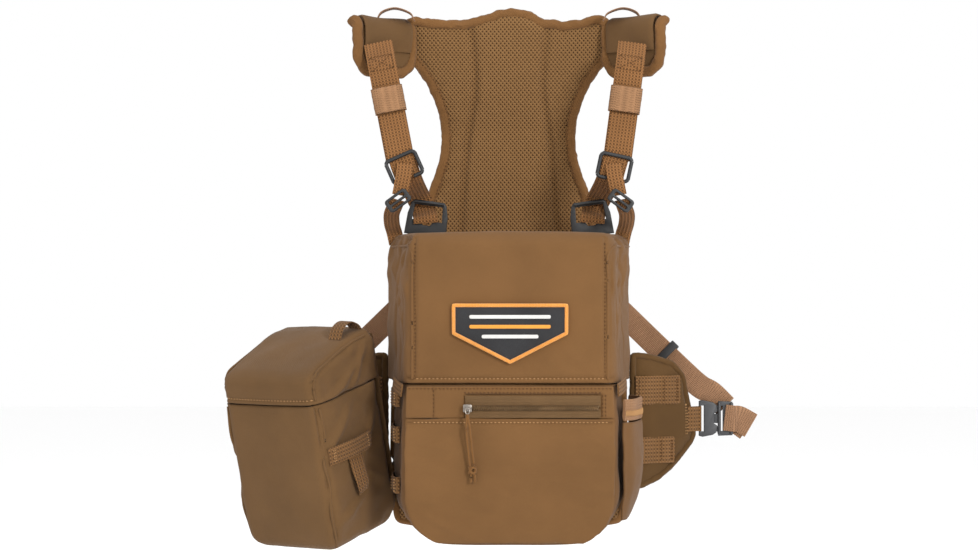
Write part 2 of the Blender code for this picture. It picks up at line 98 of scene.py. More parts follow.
def ramp(n, l, fac, stops):
    r = n.new("ShaderNodeValToRGB")
    e = r.color_ramp.elements
    while len(e) < len(stops):
        e.new(0.5)
    for el, (p, c) in zip(e, stops):
        el.position, el.color = p, (*c, 1)
    l.new(fac, r.inputs[0])
    return r.outputs[0]

def noise_tex(n, l, vec, scale, detail=4, rough=0.55):
    t = n.new("ShaderNodeTexNoise")
    t.inputs["Scale"].default_value = scale
    t.inputs["Detail"].default_value = detail
    t.inputs["Roughness"].default_value = rough
    l.new(vec, t.inputs["Vector"])
    return t.outputs["Fac"]

def mix_rgb(n, l, fac, a, b, kind="MIX"):
    x = n.new("ShaderNodeMix")
    x.data_type, x.blend_type = "RGBA", kind
    if isinstance(fac, (int, float)):
        x.inputs[0].default_value = fac
    else:
        l.new(fac, x.inputs[0])
    for i, v in ((6, a), (7, b)):
        if isinstance(v, tuple):
            x.inputs[i].default_value = (*v, 1)
        else:
            l.new(v, x.inputs[i])
    return x.outputs[2]

def bump(n, l, b, height, strength, dist):
    x = n.new("ShaderNodeBump")
    x.inputs["Strength"].default_value = strength
    x.inputs["Distance"].default_value = dist
    l.new(height, x.inputs["Height"])
    l.new(x.outputs[0], b.inputs["Normal"])

def cloth_mat(name, rgb, rough=0.86, sheen=0.06, pitch=0.0009, weave=0.35, mottling=0.10):
    """Plain-weave pack cloth: mottled colour, fine twill lines and a soft sheen."""
    m, n, l, b = mat_new(name, rough, 0, sheen, 0.10)
    co = n.new("ShaderNodeTexCoord").outputs["Object"]
    big = noise_tex(n, l, co, 14, 5)
    fine = noise_tex(n, l, co, 650, 2)
    hi = tuple(min(1, c * (1 + mottling)) for c in rgb)
    lo = tuple(c * (1 - mottling) for c in rgb)
    base = ramp(n, l, big, [(0.35, lo), (0.65, hi)])
    sep = n.new("ShaderNodeSeparateXYZ")
    l.new(co, sep.inputs[0])
    k = 2 * math.pi / pitch
    diag = mathn(n, l, "ADD", sep.outputs[0], mathn(n, l, "MULTIPLY", sep.outputs[1], 0.7))
    s1 = mathn(n, l, "SINE", mathn(n, l, "MULTIPLY", diag, k))
    s2 = mathn(n, l, "SINE", mathn(n, l, "MULTIPLY", sep.outputs[2], k))
    w = mathn(n, l, "ADD", mathn(n, l, "MULTIPLY", s1, s2), mathn(n, l, "MULTIPLY", fine, 1.6))
    f = mathn(n, l, "MULTIPLY", mathn(n, l, "ADD", mathn(n, l, "MULTIPLY", w, 0.5), 0.1), 0.22)
    col = mix_rgb(n, l, f, base, tuple(c * 0.55 for c in rgb))
    l.new(col, b.inputs["Base Color"])
    bump(n, l, b, w, weave, 0.0002)
    return m

def web_mat(name, rgb, rough=0.8, rib=0.0028, cross=0.0026, painted_groove_shade=0.85):
    """Coarse webbing with painted shade in the weave's grooves; the strap's UVs are metres across and along."""
    m, n, l, b = mat_new(name, rough, 0, 0.05, 0.12)
    uv = n.new("ShaderNodeUVMap")
    uv.uv_map = "UVMap"
    sep = n.new("ShaderNodeSeparateXYZ")
    l.new(uv.outputs[0], sep.inputs[0])
    a = mathn(n, l, "SINE", mathn(n, l, "MULTIPLY", sep.outputs[0], 2 * math.pi / rib))
    c = mathn(n, l, "SINE", mathn(n, l, "MULTIPLY", sep.outputs[1], 2 * math.pi / cross))
    w = mathn(n, l, "MULTIPLY", a, c)
    w = mathn(n, l, "ADD", mathn(n, l, "MULTIPLY", w, 0.6), mathn(n, l, "MULTIPLY", a, 0.4))
    co = n.new("ShaderNodeTexCoord").outputs["Object"]
    big = noise_tex(n, l, co, 40, 4)
    base = ramp(n, l, big, [(0.3, tuple(x * 0.88 for x in rgb)), (0.7, tuple(min(1, x * 1.12) for x in rgb))])
    # painted shade: the low parts of the weave (grooves) are darkened towards 0.38 of the colour
    f = mathn(n, l, "MULTIPLY", mathn(n, l, "SUBTRACT", 0.6, w), painted_groove_shade)
    x = n.new("ShaderNodeClamp")
    l.new(f, x.inputs[0])
    col = mix_rgb(n, l, x.outputs[0], base, tuple(c_ * 0.38 for c_ in rgb))
    l.new(col, b.inputs["Base Color"])
    bump(n, l, b, w, 0.9, 0.0007)
    return m

def mesh_mat(name, rgb, hole_shade):
    """Knitted spacer mesh: staggered holes painted dark as painted shade, between pale strands."""
    m, n, l, b = mat_new(name, 0.88, 0, 0.06, 0.10)
    co = n.new("ShaderNodeTexCoord").outputs["Object"]
    sep = n.new("ShaderNodeSeparateXYZ")
    l.new(co, sep.inputs[0])
    px, pz = 0.0035, 0.0040
    a = mathn(n, l, "COSINE", mathn(n, l, "MULTIPLY", sep.outputs[0], 2 * math.pi / px))
    c = mathn(n, l, "COSINE", mathn(n, l, "MULTIPLY", sep.outputs[2], 2 * math.pi / pz))
    w = mathn(n, l, "MULTIPLY", a, c)
    w = mathn(n, l, "ABSOLUTE", w)
    co2 = mathn(n, l, "MULTIPLY", a, c)
    fine = noise_tex(n, l, co, 500, 2)
    t = mathn(n, l, "ADD", co2, mathn(n, l, "MULTIPLY", fine, 0.3))
    # painted shade: the holes get the dark hole_shade colour
    col = ramp(n, l, t, [(0.25, rgb), (0.52, tuple(x * 0.8 for x in rgb)), (0.85, hole_shade), (1.0, tuple(x * 0.6 for x in hole_shade))])
    l.new(col, b.inputs["Base Color"])
    inv = mathn(n, l, "MULTIPLY", co2, -1.0)
    bump(n, l, b, inv, 0.8, 0.0006)
    return m

def plastic_mat(name, rgb, rough):
    m, n, l, b = mat_new(name, rough, 0, 0.0, 0.5)
    co = n.new("ShaderNodeTexCoord").outputs["Object"]
    big = noise_tex(n, l, co, 60, 4)
    col = ramp(n, l, big, [(0.3, tuple(x * 0.85 for x in rgb)), (0.75, tuple(min(1, x * 1.25) for x in rgb))])
    l.new(col, b.inputs["Base Color"])
    r = ramp(n, l, noise_tex(n, l, co, 220, 3), [(0.3, (rough * 0.85,) * 3), (0.7, (min(1, rough * 1.2),) * 3)])
    l.new(r, b.inputs["Roughness"])
    bump(n, l, b, noise_tex(n, l, co, 1400, 2), 0.12, 0.0002)
    return m

def metal_mat(name, rgb, rough):
    m = plastic_mat(name, rgb, rough)
    m.node_tree.nodes["Principled BSDF"].inputs["Metallic"].default_value = 0.9
    return m

def lin(r, g, b):
    return tuple(((c / 255 + 0.055) / 1.055) ** 2.4 if c > 10 else c / 255 / 12.92 for c in (r, g, b))

def tint(c, *k):
    return tuple(a * b for a, b in zip(c, k))

M = {
    "pack": cloth_mat("pack_cloth", tint(lin(146, 106, 68), 0.50, 0.49, 0.44)),
    # pack_side_shade: the pack cloth made darker for the side faces, painted shade
    "pack_side_shade": cloth_mat("pack_cloth_painted_side_shade", tint(lin(136, 99, 63), 0.52, 0.50, 0.46)),
    "acc": cloth_mat("accessory_cloth", tint(lin(124, 94, 62), 0.60, 0.57, 0.52)),
    "wing": cloth_mat("wing_cloth", tint(lin(110, 82, 52), 0.54, 0.51, 0.42)),
    "lobe": cloth_mat("lobe_cloth", tint(lin(130, 98, 64), 0.50, 0.48, 0.44), 0.78, 0.06),
    "binding": cloth_mat("binding_tape", tint(lin(158, 114, 72), 0.46, 0.44, 0.38), 0.8, 0.06, 0.0014, 0.6),
    # the dark second colour is painted shade inside the mesh holes
    "mesh": mesh_mat("spacer_mesh", tint(lin(160, 121, 78), 0.55, 0.53, 0.50), lin(66, 42, 20)),
    "web": web_mat("webbing_weave", tint(lin(172, 124, 80), 0.66, 0.61, 0.53)),
    "web_dark": web_mat("webbing_row_weave", tint(lin(150, 112, 74), 0.66, 0.61, 0.53), 0.8, 0.0032, 0.0030, 0.8),
    "elastic": web_mat("elastic_weave", tint(lin(180, 136, 102), 0.63, 0.61, 0.55), 0.75, 0.0022, 0.0020, 0.20),
    "belt": web_mat("belt_weave", tint(lin(170, 128, 98), 0.80, 0.80, 0.76), 0.7, 0.0014, 0.0018, 0.22),
    "tape": web_mat("zip_tape_weave", tint(lin(140, 112, 80), 0.70, 0.63, 0.52), 0.8, 0.0012, 0.0010, 0.35),
    "black": plastic_mat("black_acetal", (0.006, 0.006, 0.0065), 0.52),
    "grey": plastic_mat("grey_acetal", (0.026, 0.026, 0.028), 0.42),
    "metal": metal_mat("zip_alloy", (0.26, 0.23, 0.20), 0.34),
    "thread": cloth_mat("thread", tint(lin(120, 86, 52), 0.55, 0.50, 0.45), 0.75, 0.05, 0.0004),
    "thread_light": cloth_mat("thread_light", tint(lin(186, 146, 104), 0.72, 0.68, 0.60), 0.75, 0.05, 0.0004),
    "field": cloth_mat("patch_field_pile", lin(44, 44, 46), 0.95, 0.4, 0.0011, 0.9, 0.35),
    "amber": cloth_mat("patch_border_thread", lin(238, 160, 62), 0.6, 0.3, 0.0008, 0.9),
    "pale": cloth_mat("patch_motif_thread", lin(225, 224, 220), 0.6, 0.3, 0.0008, 0.9),
    "coil": metal_mat("coil_alloy", lin(150, 128, 100), 0.4),
    "cord": cloth_mat("cord_braid", tint(lin(122, 84, 46), 0.98, 0.98, 0.94), 0.8, 0.06, 0.0007, 0.8),
}

# ------------------------------------------------------------------ helpers
def add(name, bm, mat, body=ROOT, smooth=True, angle=40):
    me = bpy.data.meshes.new(name)
    bm.to_mesh(me)
    bm.free()
    o = bpy.data.objects.new(name, me)
    COL.objects.link(o)
    me.materials.append(M[mat])
    if smooth:
        me.shade_smooth()
        me.set_sharp_from_angle(angle=math.radians(angle))
    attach(o, body)
    return o

def solidify(o, t, offset=-1.0):
    s = o.modifiers.new("wall", "SOLIDIFY")
    s.thickness, s.offset = t, offset
    return o

def fbm(p, s, seed=0.0):
    q = Vector(p) * s + Vector((seed, seed * 1.7, seed * 0.3))
    return noise.noise(q) + 0.5 * noise.noise(q * 2.1) + 0.25 * noise.noise(q * 4.3)

def rbox(lo, hi, r, res, drop=()):
    """Rounded box as an evenly gridded surface; faces named in drop are left open."""
    bm = bmesh.new()
    lo, hi = Vector(lo), Vector(hi)
    for ax in range(3):
        u, v = [i for i in range(3) if i != ax]
        for sgn in (0, 1):
            if ("-" if sgn == 0 else "+") + "xyz"[ax] in drop:
                continue
            nu, nv = max(2, round((hi[u] - lo[u]) / res)), max(2, round((hi[v] - lo[v]) / res))
            g = []
            for i in range(nu + 1):
                row = []
                for j in range(nv + 1):
                    p = Vector((0, 0, 0))
                    p[ax] = hi[ax] if sgn else lo[ax]
                    p[u] = lo[u] + (hi[u] - lo[u]) * i / nu
                    p[v] = lo[v] + (hi[v] - lo[v]) * j / nv
                    row.append(bm.verts.new(p))
                g.append(row)
            for i in range(nu):
                for j in range(nv):
                    f = [g[i][j], g[i + 1][j], g[i + 1][j + 1], g[i][j + 1]]
                    if (sgn == 0) != (ax == 1):
                        f.reverse()
                    bm.faces.new(f)
    bmesh.ops.remove_doubles(bm, verts=bm.verts, dist=res * 0.02)
    rr = [min(r, (hi[i] - lo[i]) / 2 - 1e-5) for i in range(3)]
    flat = {d for d in drop}
    for v in bm.verts:
        inner = Vector([min(max(v.co[i], lo[i] + (rr[i] if ("-" + "xyz"[i]) not in flat else 0)),
                            hi[i] - (rr[i] if ("+" + "xyz"[i]) not in flat else 0)) for i in range(3)])
        d = v.co - inner
        if d.length > 1e-9:
            e = Vector([d[i] / rr[i] for i in range(3)])
            e.normalize()
            v.co = inner + Vector([e[i] * rr[i] for i in range(3)])
    return bm

def displace(bm, f):
    bm.normal_update()
    moves = [(v, v.co + v.normal * f(v.co, v.normal)) for v in bm.verts]
    for v, p in moves:
        v.co = p

def groove(d, w, depth):
    return -depth * math.exp(-(d / w) ** 2)

def path_of(points, n):
    p = [Vector(q) for q in points]
    p = [2 * p[0] - p[1]] + p + [2 * p[-1] - p[-2]]
    spans = len(p) - 3
    out = []
    for i in range(n + 1):
        t = i / n * spans
        k = min(int(t), spans - 1)
        u = t - k
        a, b, c, d = p[k:k + 4]
        out.append(0.5 * ((2 * b) + (c - a) * u + (2 * a - 5 * b + 4 * c - d) * u * u + (3 * b - a - 3 * c + d) * u ** 3))
    return out

def strap(name, points, width, thick, facing, mat, body=ROOT, n=40, cross=10, wave=0.0, puff=0.0, seed=1.0):
    """Woven strap with rounded selvedges and UVs in metres."""
    path = path_of(points, n)
    bm = bmesh.new()
    uvl = bm.loops.layers.uv.new("UVMap")
    prof = []
    for j in range(cross + 1):
        prof.append((j / cross - 0.5, 1))
    for j in range(cross + 1):
        prof.append((0.5 - j / cross, -1))
    L = [0.0]
    for a, b in zip(path, path[1:]):
        L.append(L[-1] + (b - a).length)
    rows = []
    for i, p in enumerate(path):
        t = (path[min(i + 1, n)] - path[max(i - 1, 0)]).normalized()
        f = Vector(facing(i / n) if callable(facing) else facing)
        side = t.cross(f).normalized()
        up = side.cross(t).normalized()
        w = width(i / n) if callable(width) else width
        row = []
        for x, s in prof:
            e = min(1.0, (0.5 - abs(x)) * w / (thick * 0.6) + 0.35)
            h = s * thick / 2 * min(1.0, e) + puff * (1 - (2 * x) ** 2)
            h += wave * noise.noise(Vector((x * 1.5, L[i] * 45, seed)))
            row.append(bm.verts.new(p + side * (x * w) + up * h))
        rows.append(row)
    k = len(prof)
    for i in range(n):
        for j in range(k):
            q = (j + 1) % k
            f = bm.faces.new((rows[i][j], rows[i][q], rows[i + 1][q], rows[i + 1][j]))
            w = width(i / n) if callable(width) else width
            for lp, (jj, ii) in zip(f.loops, ((j, i), (q, i), (q, i + 1), (j, i + 1))):
                lp[uvl].uv = (prof[jj][0] * w, L[ii])
    for row in (rows[0], rows[-1]):
        bm.faces.new(row)
    bmesh.ops.recalc_face_normals(bm, faces=bm.faces)
    return add(name, bm, mat, body, angle=50)

def tree_of(o):
    dg = bpy.context.evaluated_depsgraph_get()
    dg.update()
    e = o.evaluated_get(dg)
    m = e.to_mesh()
    t = BVHTree.FromPolygons([o.matrix_world @ v.co for v in m.vertices], [tuple(p.vertices) for p in m.polygons])
    e.to_mesh_clear()
    return t

def stitches(name, runs, mat="thread", body=ROOT, pitch=0.0034, size=0.00042, fill=0.62, tree=None, ray=None, lift=0.0002):
    """Rows of thread stitches as small tapered bars; each run is (points, outward)."""
    bm = bmesh.new()
    for pts, out in runs:
        pts = [Vector(p) for p in pts]
        out = Vector(out).normalized()
        total = sum((b - a).length for a, b in zip(pts, pts[1:]))
        n = max(1, round(total / pitch))
        def at(s):
            s = max(0.0, min(total, s))
            for a, b in zip(pts, pts[1:]):
                d = (b - a).length
                if s <= d or (b - pts[-1]).length < 1e-9:
                    return a + (b - a) * min(1.0, s / max(d, 1e-9))
                s -= d
            return pts[-1]
        for i in range(n):
            s0 = (i + 0.5 - fill / 2) * total / n
            s1 = (i + 0.5 + fill / 2) * total / n
            a, b = at(s0), at(s1)
            if tree:
                ha, hb = tree.ray_cast(a + out * 0.03, -out), tree.ray_cast(b + out * 0.03, -out)
                if ha[0] is None or hb[0] is None:
                    continue
                a, b = ha[0], hb[0]
                nn = ha[1] if ha[1].dot(out) > 0 else -ha[1]
            else:
                nn = out
            t = (b - a).normalized()
            side = t.cross(nn).normalized()
            a, b = a + nn * lift, b + nn * lift
            mid = (a + b) / 2
            h = size
            v = [bm.verts.new(q) for q in (
                a, mid - (b - a) * 0.25 + side * h, mid - (b - a) * 0.25 + nn * h * 1.3, mid - (b - a) * 0.25 - side * h, mid - (b - a) * 0.25 - nn * h,
                mid + (b - a) * 0.25 + side * h, mid + (b - a) * 0.25 + nn * h * 1.3, mid + (b - a) * 0.25 - side * h, mid + (b - a) * 0.25 - nn * h, b)]
            for q in range(4):
                r = (q + 1) % 4
                bm.faces.new((v[0], v[1 + r], v[1 + q]))
                bm.faces.new((v[1 + q], v[1 + r], v[5 + r], v[5 + q]))
                bm.faces.new((v[5 + q], v[5 + r], v[9]))
    if not bm.verts:
        bm.free()
        return None
    bmesh.ops.recalc_face_normals(bm, faces=bm.faces)
    return add(name, bm, mat, body)

def cordline(name, points, radius, mat, body=ROOT, n=40, sides=10, flat=1.0, up=(0, 0, 1), cyclic=False, twist=0.0):
    path = path_of(points, n) if n else [Vector(p) for p in points]
    n = len(path) - 1
    bm = bmesh.new()
    rows = []
    for i, p in enumerate(path):
        a = path[i - 1] if i else (path[-2] if cyclic else path[0])
        b = path[i + 1] if i < n else (path[1] if cyclic else path[-1])
        t = (b - a).normalized()
        side = t.cross(Vector(up))
        side = side.normalized() if side.length > 1e-4 else t.cross(Vector((1, 0, 0))).normalized()
        u = side.cross(t).normalized()
        rows.append([bm.verts.new(p + side * radius * math.cos(2 * math.pi * j / sides) * (1 + twist * math.sin(3 * 2 * math.pi * j / sides + i * 1.3)) + u * radius * flat * math.sin(2 * math.pi * j / sides)) for j in range(sides)])
    if cyclic:
        for q in rows[-1]:
            bm.verts.remove(q)
        rows[-1] = rows[0]
    for a, b in zip(rows, rows[1:]):
        for j in range(sides):
            bm.faces.new((a[j], a[(j + 1) % sides], b[(j + 1) % sides], b[j]))
    if not cyclic:
        bm.faces.new(rows[0])
        bm.faces.new(rows[-1])
    bmesh.ops.recalc_face_normals(bm, faces=bm.faces)
    return add(name, bm, mat, body)

def block(name, size, matrix, mat, body=ROOT, bevel=0.0006, seg=3):
    bm = bmesh.new()
    bmesh.ops.create_cube(bm, size=1.0)
    bmesh.ops.scale(bm, vec=Vector(size), verts=bm.verts)
    bmesh.ops.bevel(bm, geom=bm.edges[:], offset=bevel, segments=seg, profile=0.5, affect="EDGES")
    bmesh.ops.transform(bm, matrix=matrix, verts=bm.verts)
    return add(name, bm, mat, body)

def plate(name, loops, thick, matrix, mat, body=ROOT, bevel=0.0008):
    """Moulded plate from outlines, later ones being windows, with rounded edges."""
    cu = bpy.data.curves.new(name, "CURVE")
    cu.dimensions, cu.fill_mode = "2D", "BOTH"
    cu.extrude, cu.bevel_depth, cu.bevel_resolution = max(thick / 2 - bevel, 0.00005), bevel, 2
    cu.offset = -bevel
    for lp in loops:
        sp = cu.splines.new("POLY")
        sp.points.add(len(lp) - 1)
        for q, (x, y) in zip(sp.points, lp):
            q.co = (x, y, 0, 1)
        sp.use_cyclic_u = True
    tmp = bpy.data.objects.new(name, cu)
    COL.objects.link(tmp)
    me = bpy.data.meshes.new_from_object(tmp.evaluated_get(bpy.context.evaluated_depsgraph_get()))
    bpy.data.objects.remove(tmp)
    bpy.data.curves.remove(cu)
    bm = bmesh.new()
    bm.from_mesh(me)
    bpy.data.meshes.remove(me)
    bmesh.ops.remove_doubles(bm, verts=bm.verts, dist=0.00002)
    bmesh.ops.recalc_face_normals(bm, faces=bm.faces)
    bmesh.ops.transform(bm, matrix=matrix, verts=bm.verts)
    return add(name, bm, mat, body)

def rounded(w, h, r, k=6, cx=0.0, cy=0.0):
    pts = []
    for sx, sy, a0 in ((1, 1, 0), (-1, 1, 90), (-1, -1, 180), (1, -1, 270)):
        for j in range(k + 1):
            a = math.radians(a0 + 90 * j / k)
            pts.append((cx + sx * (w / 2 - r) + r * math.cos(a), cy + sy * (h / 2 - r) + r * math.sin(a)))
    return pts

def upright(loc, roll=0.0, yaw=0.0):
    return (Matrix.Translation(Vector(loc)) @ Matrix.Rotation(yaw, 4, "Z")
            @ Matrix.Rotation(math.radians(90), 4, "X") @ Matrix.Rotation(roll, 4, "Z"))

def puff(o, pressure=4.0, voxel=0.004, cap=0.006, frames=20):
    """Inflate a closed pad with cloth pressure, limited to a small movement."""
    rm = o.modifiers.new("remesh", "REMESH")
    rm.mode, rm.voxel_size = "VOXEL", voxel
    dg = bpy.context.evaluated_depsgraph_get()
    me = bpy.data.meshes.new_from_object(o.evaluated_get(dg))
    o.modifiers.remove(rm)
    old = o.data
    o.data = me
    for m_ in old.materials:
        if not me.materials:
            me.materials.append(m_)
    bpy.data.meshes.remove(old)
    start = [v.co.copy() for v in me.vertices]
    c = o.modifiers.new("cloth", "CLOTH")
    st = c.settings
    st.quality, st.mass = 6, 0.2
    st.tension_stiffness = st.compression_stiffness = 25
    st.shear_stiffness, st.bending_stiffness = 15, 1.0
    st.use_pressure, st.uniform_pressure_force = True, pressure
    st.effector_weights.gravity = 0
    c.point_cache.frame_start, c.point_cache.frame_end = 1, frames
    for f in range(1, frames + 1):
        scene.frame_set(f)
    dg = bpy.context.evaluated_depsgraph_get()
    sim = o.evaluated_get(dg).to_mesh()
    ends = [v.co.copy() for v in sim.vertices]
    o.evaluated_get(dg).to_mesh_clear()
    o.modifiers.remove(c)
    scene.frame_set(1)
    for v, a, b in zip(me.vertices, start, ends):
        d = b - a
        v.co = a + (d if d.length < cap else d.normalized() * cap)
    bm = bmesh.new()
    bm.from_mesh(me)
    for _ in range(3):
        bmesh.ops.smooth_vert(bm, verts=bm.verts, factor=0.5, use_axis_x=True, use_axis_y=True, use_axis_z=True)
    bm.to_mesh(me)
    bm.free()
    me.shade_smooth()
    s = o.modifiers.new("fine", "SUBSURF")
    s.levels = s.render_levels = 1
    return o

# ------------------------------------------------------------------ the cord first: doubled pull on the zip slider
CORD = path_of([(-0.0345, -0.1150, -0.3290), (-0.0336, -0.1154, -0.345), (-0.0318, -0.1152, -0.362),
                (-0.0306, -0.1150, -0.3720), (-0.0298, -0.1150, -0.3840)], 30)
def cord_offset(d, squeeze):
    out = []
    for i, p in enumerate(CORD):
        t = i / (len(CORD) - 1)
        s = d * (min(1, 5 * t) if t < 0.75 else 1) * (1 - squeeze * math.exp(-((t - 0.80) / 0.06) ** 2))
        out.append(p + Vector((s, 0, 0)))
    return out
pull = cordline("pull_cord_a", cord_offset(-0.0016, 0.7), 0.00105, "cord", "zip_pull", n=0, twist=0.10)
pull_b = cordline("pull_cord_b", cord_offset(0.0016, 0.7), 0.00105, "cord", "zip_pull", n=0, twist=0.10)
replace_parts(pull, "zip_pull_cord")
knot_c = CORD[24]
knot = cordline("pull_knot", [knot_c + Vector((0.0025 * math.cos(a), 0.0020 * math.sin(a), 0.0023 * math.sin(a * 1.5 + 0.4))) for a in [i * 0.42 for i in range(31)]],
                0.00110, "cord", "zip_pull", n=60)

# ------------------------------------------------------------------ main pouch body
def s_of(z):
    """Half-width factor down the front: rounded lower corners."""
    u = min(max((-0.3990 - z) / 0.0371, 0.0), 0.999)
    return 1 - 0.42 * (1 - math.sqrt(1 - u * u))

def w_of(z):
    return 1 + 0.020 * math.sin(min(max((-0.306 - z) / 0.12, 0), 1) * math.pi)

def wedge(p, z_shape=True, front=0.885):
    k = front + (1 - front) * min(max((p.y + 0.100) / 0.100, -0.1), 1.1)
    s = (s_of(p.z) * w_of(p.z)) if z_shape else 1
    y = p.y
    if z_shape:
        t = min(max((-0.412 - p.z) / 0.0245, 0), 1)
        y = -0.05 + (p.y + 0.05) * (1 - 0.20 * t ** 2.4)
    return Vector((p.x * k * s, y, p.z))

def wrinkle(p, amp=0.0010, along=0.25, s=16, seed=3.0):
    """Soft folds, long across the cloth and short down it."""
    q = Vector((p.x * s * along, p.y * s * along, p.z * s))
    return amp * (noise.noise(q + Vector((seed, 0, 0))) + 0.45 * noise.noise(q * 2.3 + Vector((0, seed, 0))))

bm = rbox((-0.0970, -0.0995, -0.4360), (0.0970, -0.0005, -0.3058), 0.012, 0.0022, drop=("+z",))
for v in bm.verts:
    v.co = wedge(v.co)
def body_f(p, n):
    d = wrinkle(p, 0.0011, 0.3, 26, 2.0) + 0.0006 * fbm(p, 22, 4)
    if abs(n.x) > 0.6:   # side gussets sink between their seams
        d += -0.0022 * math.exp(-((p.y + 0.05) / 0.03) ** 2) + wrinkle(p, 0.0016, 0.9, 34, 9)
    if n.z < -0.6:
        d *= 0.3
    return d
displace(bm, body_f)
# the gussets and bottom use the darker pack cloth, painted shade
body = add("body_shell", bm, "pack_side_shade")
solidify(body, 0.0022)
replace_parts(body, "main_body")

bm = rbox((-0.0905, -0.0935, -0.4300), (0.0905, -0.0055, -0.2010), 0.010, 0.004, drop=("+z",))
for v in bm.verts:
    k = 0.80 + 0.20 * min(max((v.co.y + 0.0935) / 0.088, 0), 1)
    t = min(max((-0.385 - v.co.z) / 0.045, 0.0), 1.0)
    v.co.x *= k * (1 - 0.32 * t ** 2.5)
displace(bm, lambda p, n: 0.0004 * fbm(p, 30, 7))
liner = add("bay_liner", bm, "acc")
solidify(liner, 0.0015)
rim = [(-0.0735, -0.0935, -0.2010), (0.0735, -0.0935, -0.2010), (0.0900, -0.0065, -0.2010), (-0.0900, -0.0065, -0.2010)]
for i in range(4):
    a, b = Vector(rim[i]), Vector(rim[(i + 1) % 4])
    cordline(f"bay_rim_{i + 1}", [a.lerp(b, 0.04), a.lerp(b, 0.5), a.lerp(b, 0.96)], 0.0014, "binding", n=16)

# side and bottom piping where the front panel meets the gussets
def edge_curve(sx, y, off=0.0):
    pts = []
    for i in range(26):
        z = -0.3085 - (0.4345 - 0.3085) * i / 25
        p = wedge(Vector((0.0925 * sx, y, z)))
        pts.append((p.x + off * sx, p.y + 0.0015, p.z))
    return pts
pipe_l, pipe_r = edge_curve(-1, -0.0975), edge_curve(1, -0.0975)
cordline("front_piping", pipe_l + [(x, -0.0950, -0.4352) for x in (-0.035, 0.0, 0.035)] + list(reversed(pipe_r)), 0.0013, "pack", n=150)

# front pocket below the zip, and the band that carries the zip
def pocket_f(p, n):
    if n.y > -0.5:
        return 0.0003 * fbm(p, 30, 3)
    cx = 1 - min(abs(p.x) / 0.084, 1) ** 4
    cz = math.sin(min(max((-0.333 - p.z) / 0.100, 0), 1) * math.pi) ** 0.7
    d = 0.0050 * cx * cz
    d += wrinkle(p, 0.0016, 0.22, 30, 5.0) + wrinkle(p, 0.0009, 0.4, 75, 8.0)
    d += groove(p.z + 0.3366, 0.0012, 0.0012)
    for k_, (x0, z0, a_) in enumerate(((-0.070, -0.352, 0.5), (0.070, -0.350, -0.6), (0.055, -0.418, 0.5), (-0.058, -0.418, -0.5))):
        u = (p.x - x0) * math.cos(a_) + (p.z - z0) * math.sin(a_)
        w = -(p.x - x0) * math.sin(a_) + (p.z - z0) * math.cos(a_)
        d += 0.0011 * math.exp(-(u / 0.020) ** 2) * math.exp(-(w / 0.0035) ** 2)
    return d
bm = rbox((-0.0945, -0.1046, -0.4345), (0.0945, -0.1004, -0.3332), 0.0018, 0.0017)
for v in bm.verts:
    q = wedge(Vector((v.co.x, -0.100, v.co.z)))
    v.co.x = q.x
displace(bm, pocket_f)
pocket = add("pocket_panel", bm, "pack")
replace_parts(pocket, "front_pocket")

def band_f(p, n):
    if n.y > -0.5:
        return 0.0
    d = 0.0006 * fbm(p, 26, 2) + wrinkle(p, 0.0005, 0.6, 50, 6)
    d += groove(p.x + 0.0621, 0.0008, 0.0008)
    inside = 1 / (1 + math.exp(-(p.x + 0.0370) / 0.0007)) * 1 / (1 + math.exp((p.x - 0.0740) / 0.0007))
    d -= 0.0019 * inside * (1 if -0.3330 < p.z < -0.3135 else 0)
    return d
bm = rbox((-0.0948, -0.1046, -0.3328), (0.0948, -0.1004, -0.3070), 0.0015, 0.0011)
for v in bm.verts:
    v.co.x = wedge(Vector((v.co.x, -0.100, v.co.z))).x
displace(bm, band_f)
band = add("zip_band_panel", bm, "pack")

# zip: woven tape, interlocking coil, slider and its pull tab
def tape(name, z0, z1, node=None):
    o = strap(name, [(-0.0365, -0.1049, (z0 + z1) / 2), (0.0180, -0.1051, (z0 + z1) / 2), (0.0735, -0.1049, (z0 + z1) / 2)], abs(z1 - z0), 0.0009, (0, -1, 0), "tape", n=60, wave=0.0003)
    return o
tp = tape("zip_tape_upper", -0.3145, -0.3238)
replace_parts(tp, "zip_tape")
tape("zip_tape_lower", -0.3252, -0.3325)
bm = bmesh.new()
for i in range(74):
    x = -0.0325 + i * 0.00142
    for sgn in (1, -1):
        m_ = Matrix.Translation((x + 0.00035 * sgn, -0.1070, -0.3245 + 0.0007 * sgn)) @ Matrix.Rotation(0.35 * sgn, 4, "Y")
        r_ = bmesh.ops.create_uvsphere(bm, u_segments=6, v_segments=4, radius=1.0, matrix=m_ @ Matrix.Diagonal((0.00054, 0.0011, 0.0016, 1)))
coil = add("zip_teeth", bm, "coil")
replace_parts(coil, "zip_coil")
sl = block("slider_body", (0.0074, 0.0024, 0.0064), Matrix.Translation((-0.0345, -0.1096, -0.3245)), "metal", "zip_slider", 0.0009, 3)
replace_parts(sl, "zip_slider")
cordline("slider_bridge", [(-0.0370, -0.1103, -0.3245), (-0.0368, -0.1120, -0.3245), (-0.0345, -0.1128, -0.3245), (-0.0322, -0.1120, -0.3245), (-0.0320, -0.1103, -0.3245)], 0.00065, "metal", "zip_slider", n=20)
cordline("slider_eye", [(-0.0345 + 0.0017 * math.cos(a), -0.1135 - 0.0009 * math.sin(a) * 0.4, -0.3262 - 0.0024 * math.sin(a) - 0.0004) for a in [i * math.pi / 8 for i in range(17)]], 0.00055, "metal", "zip_slider", n=34)

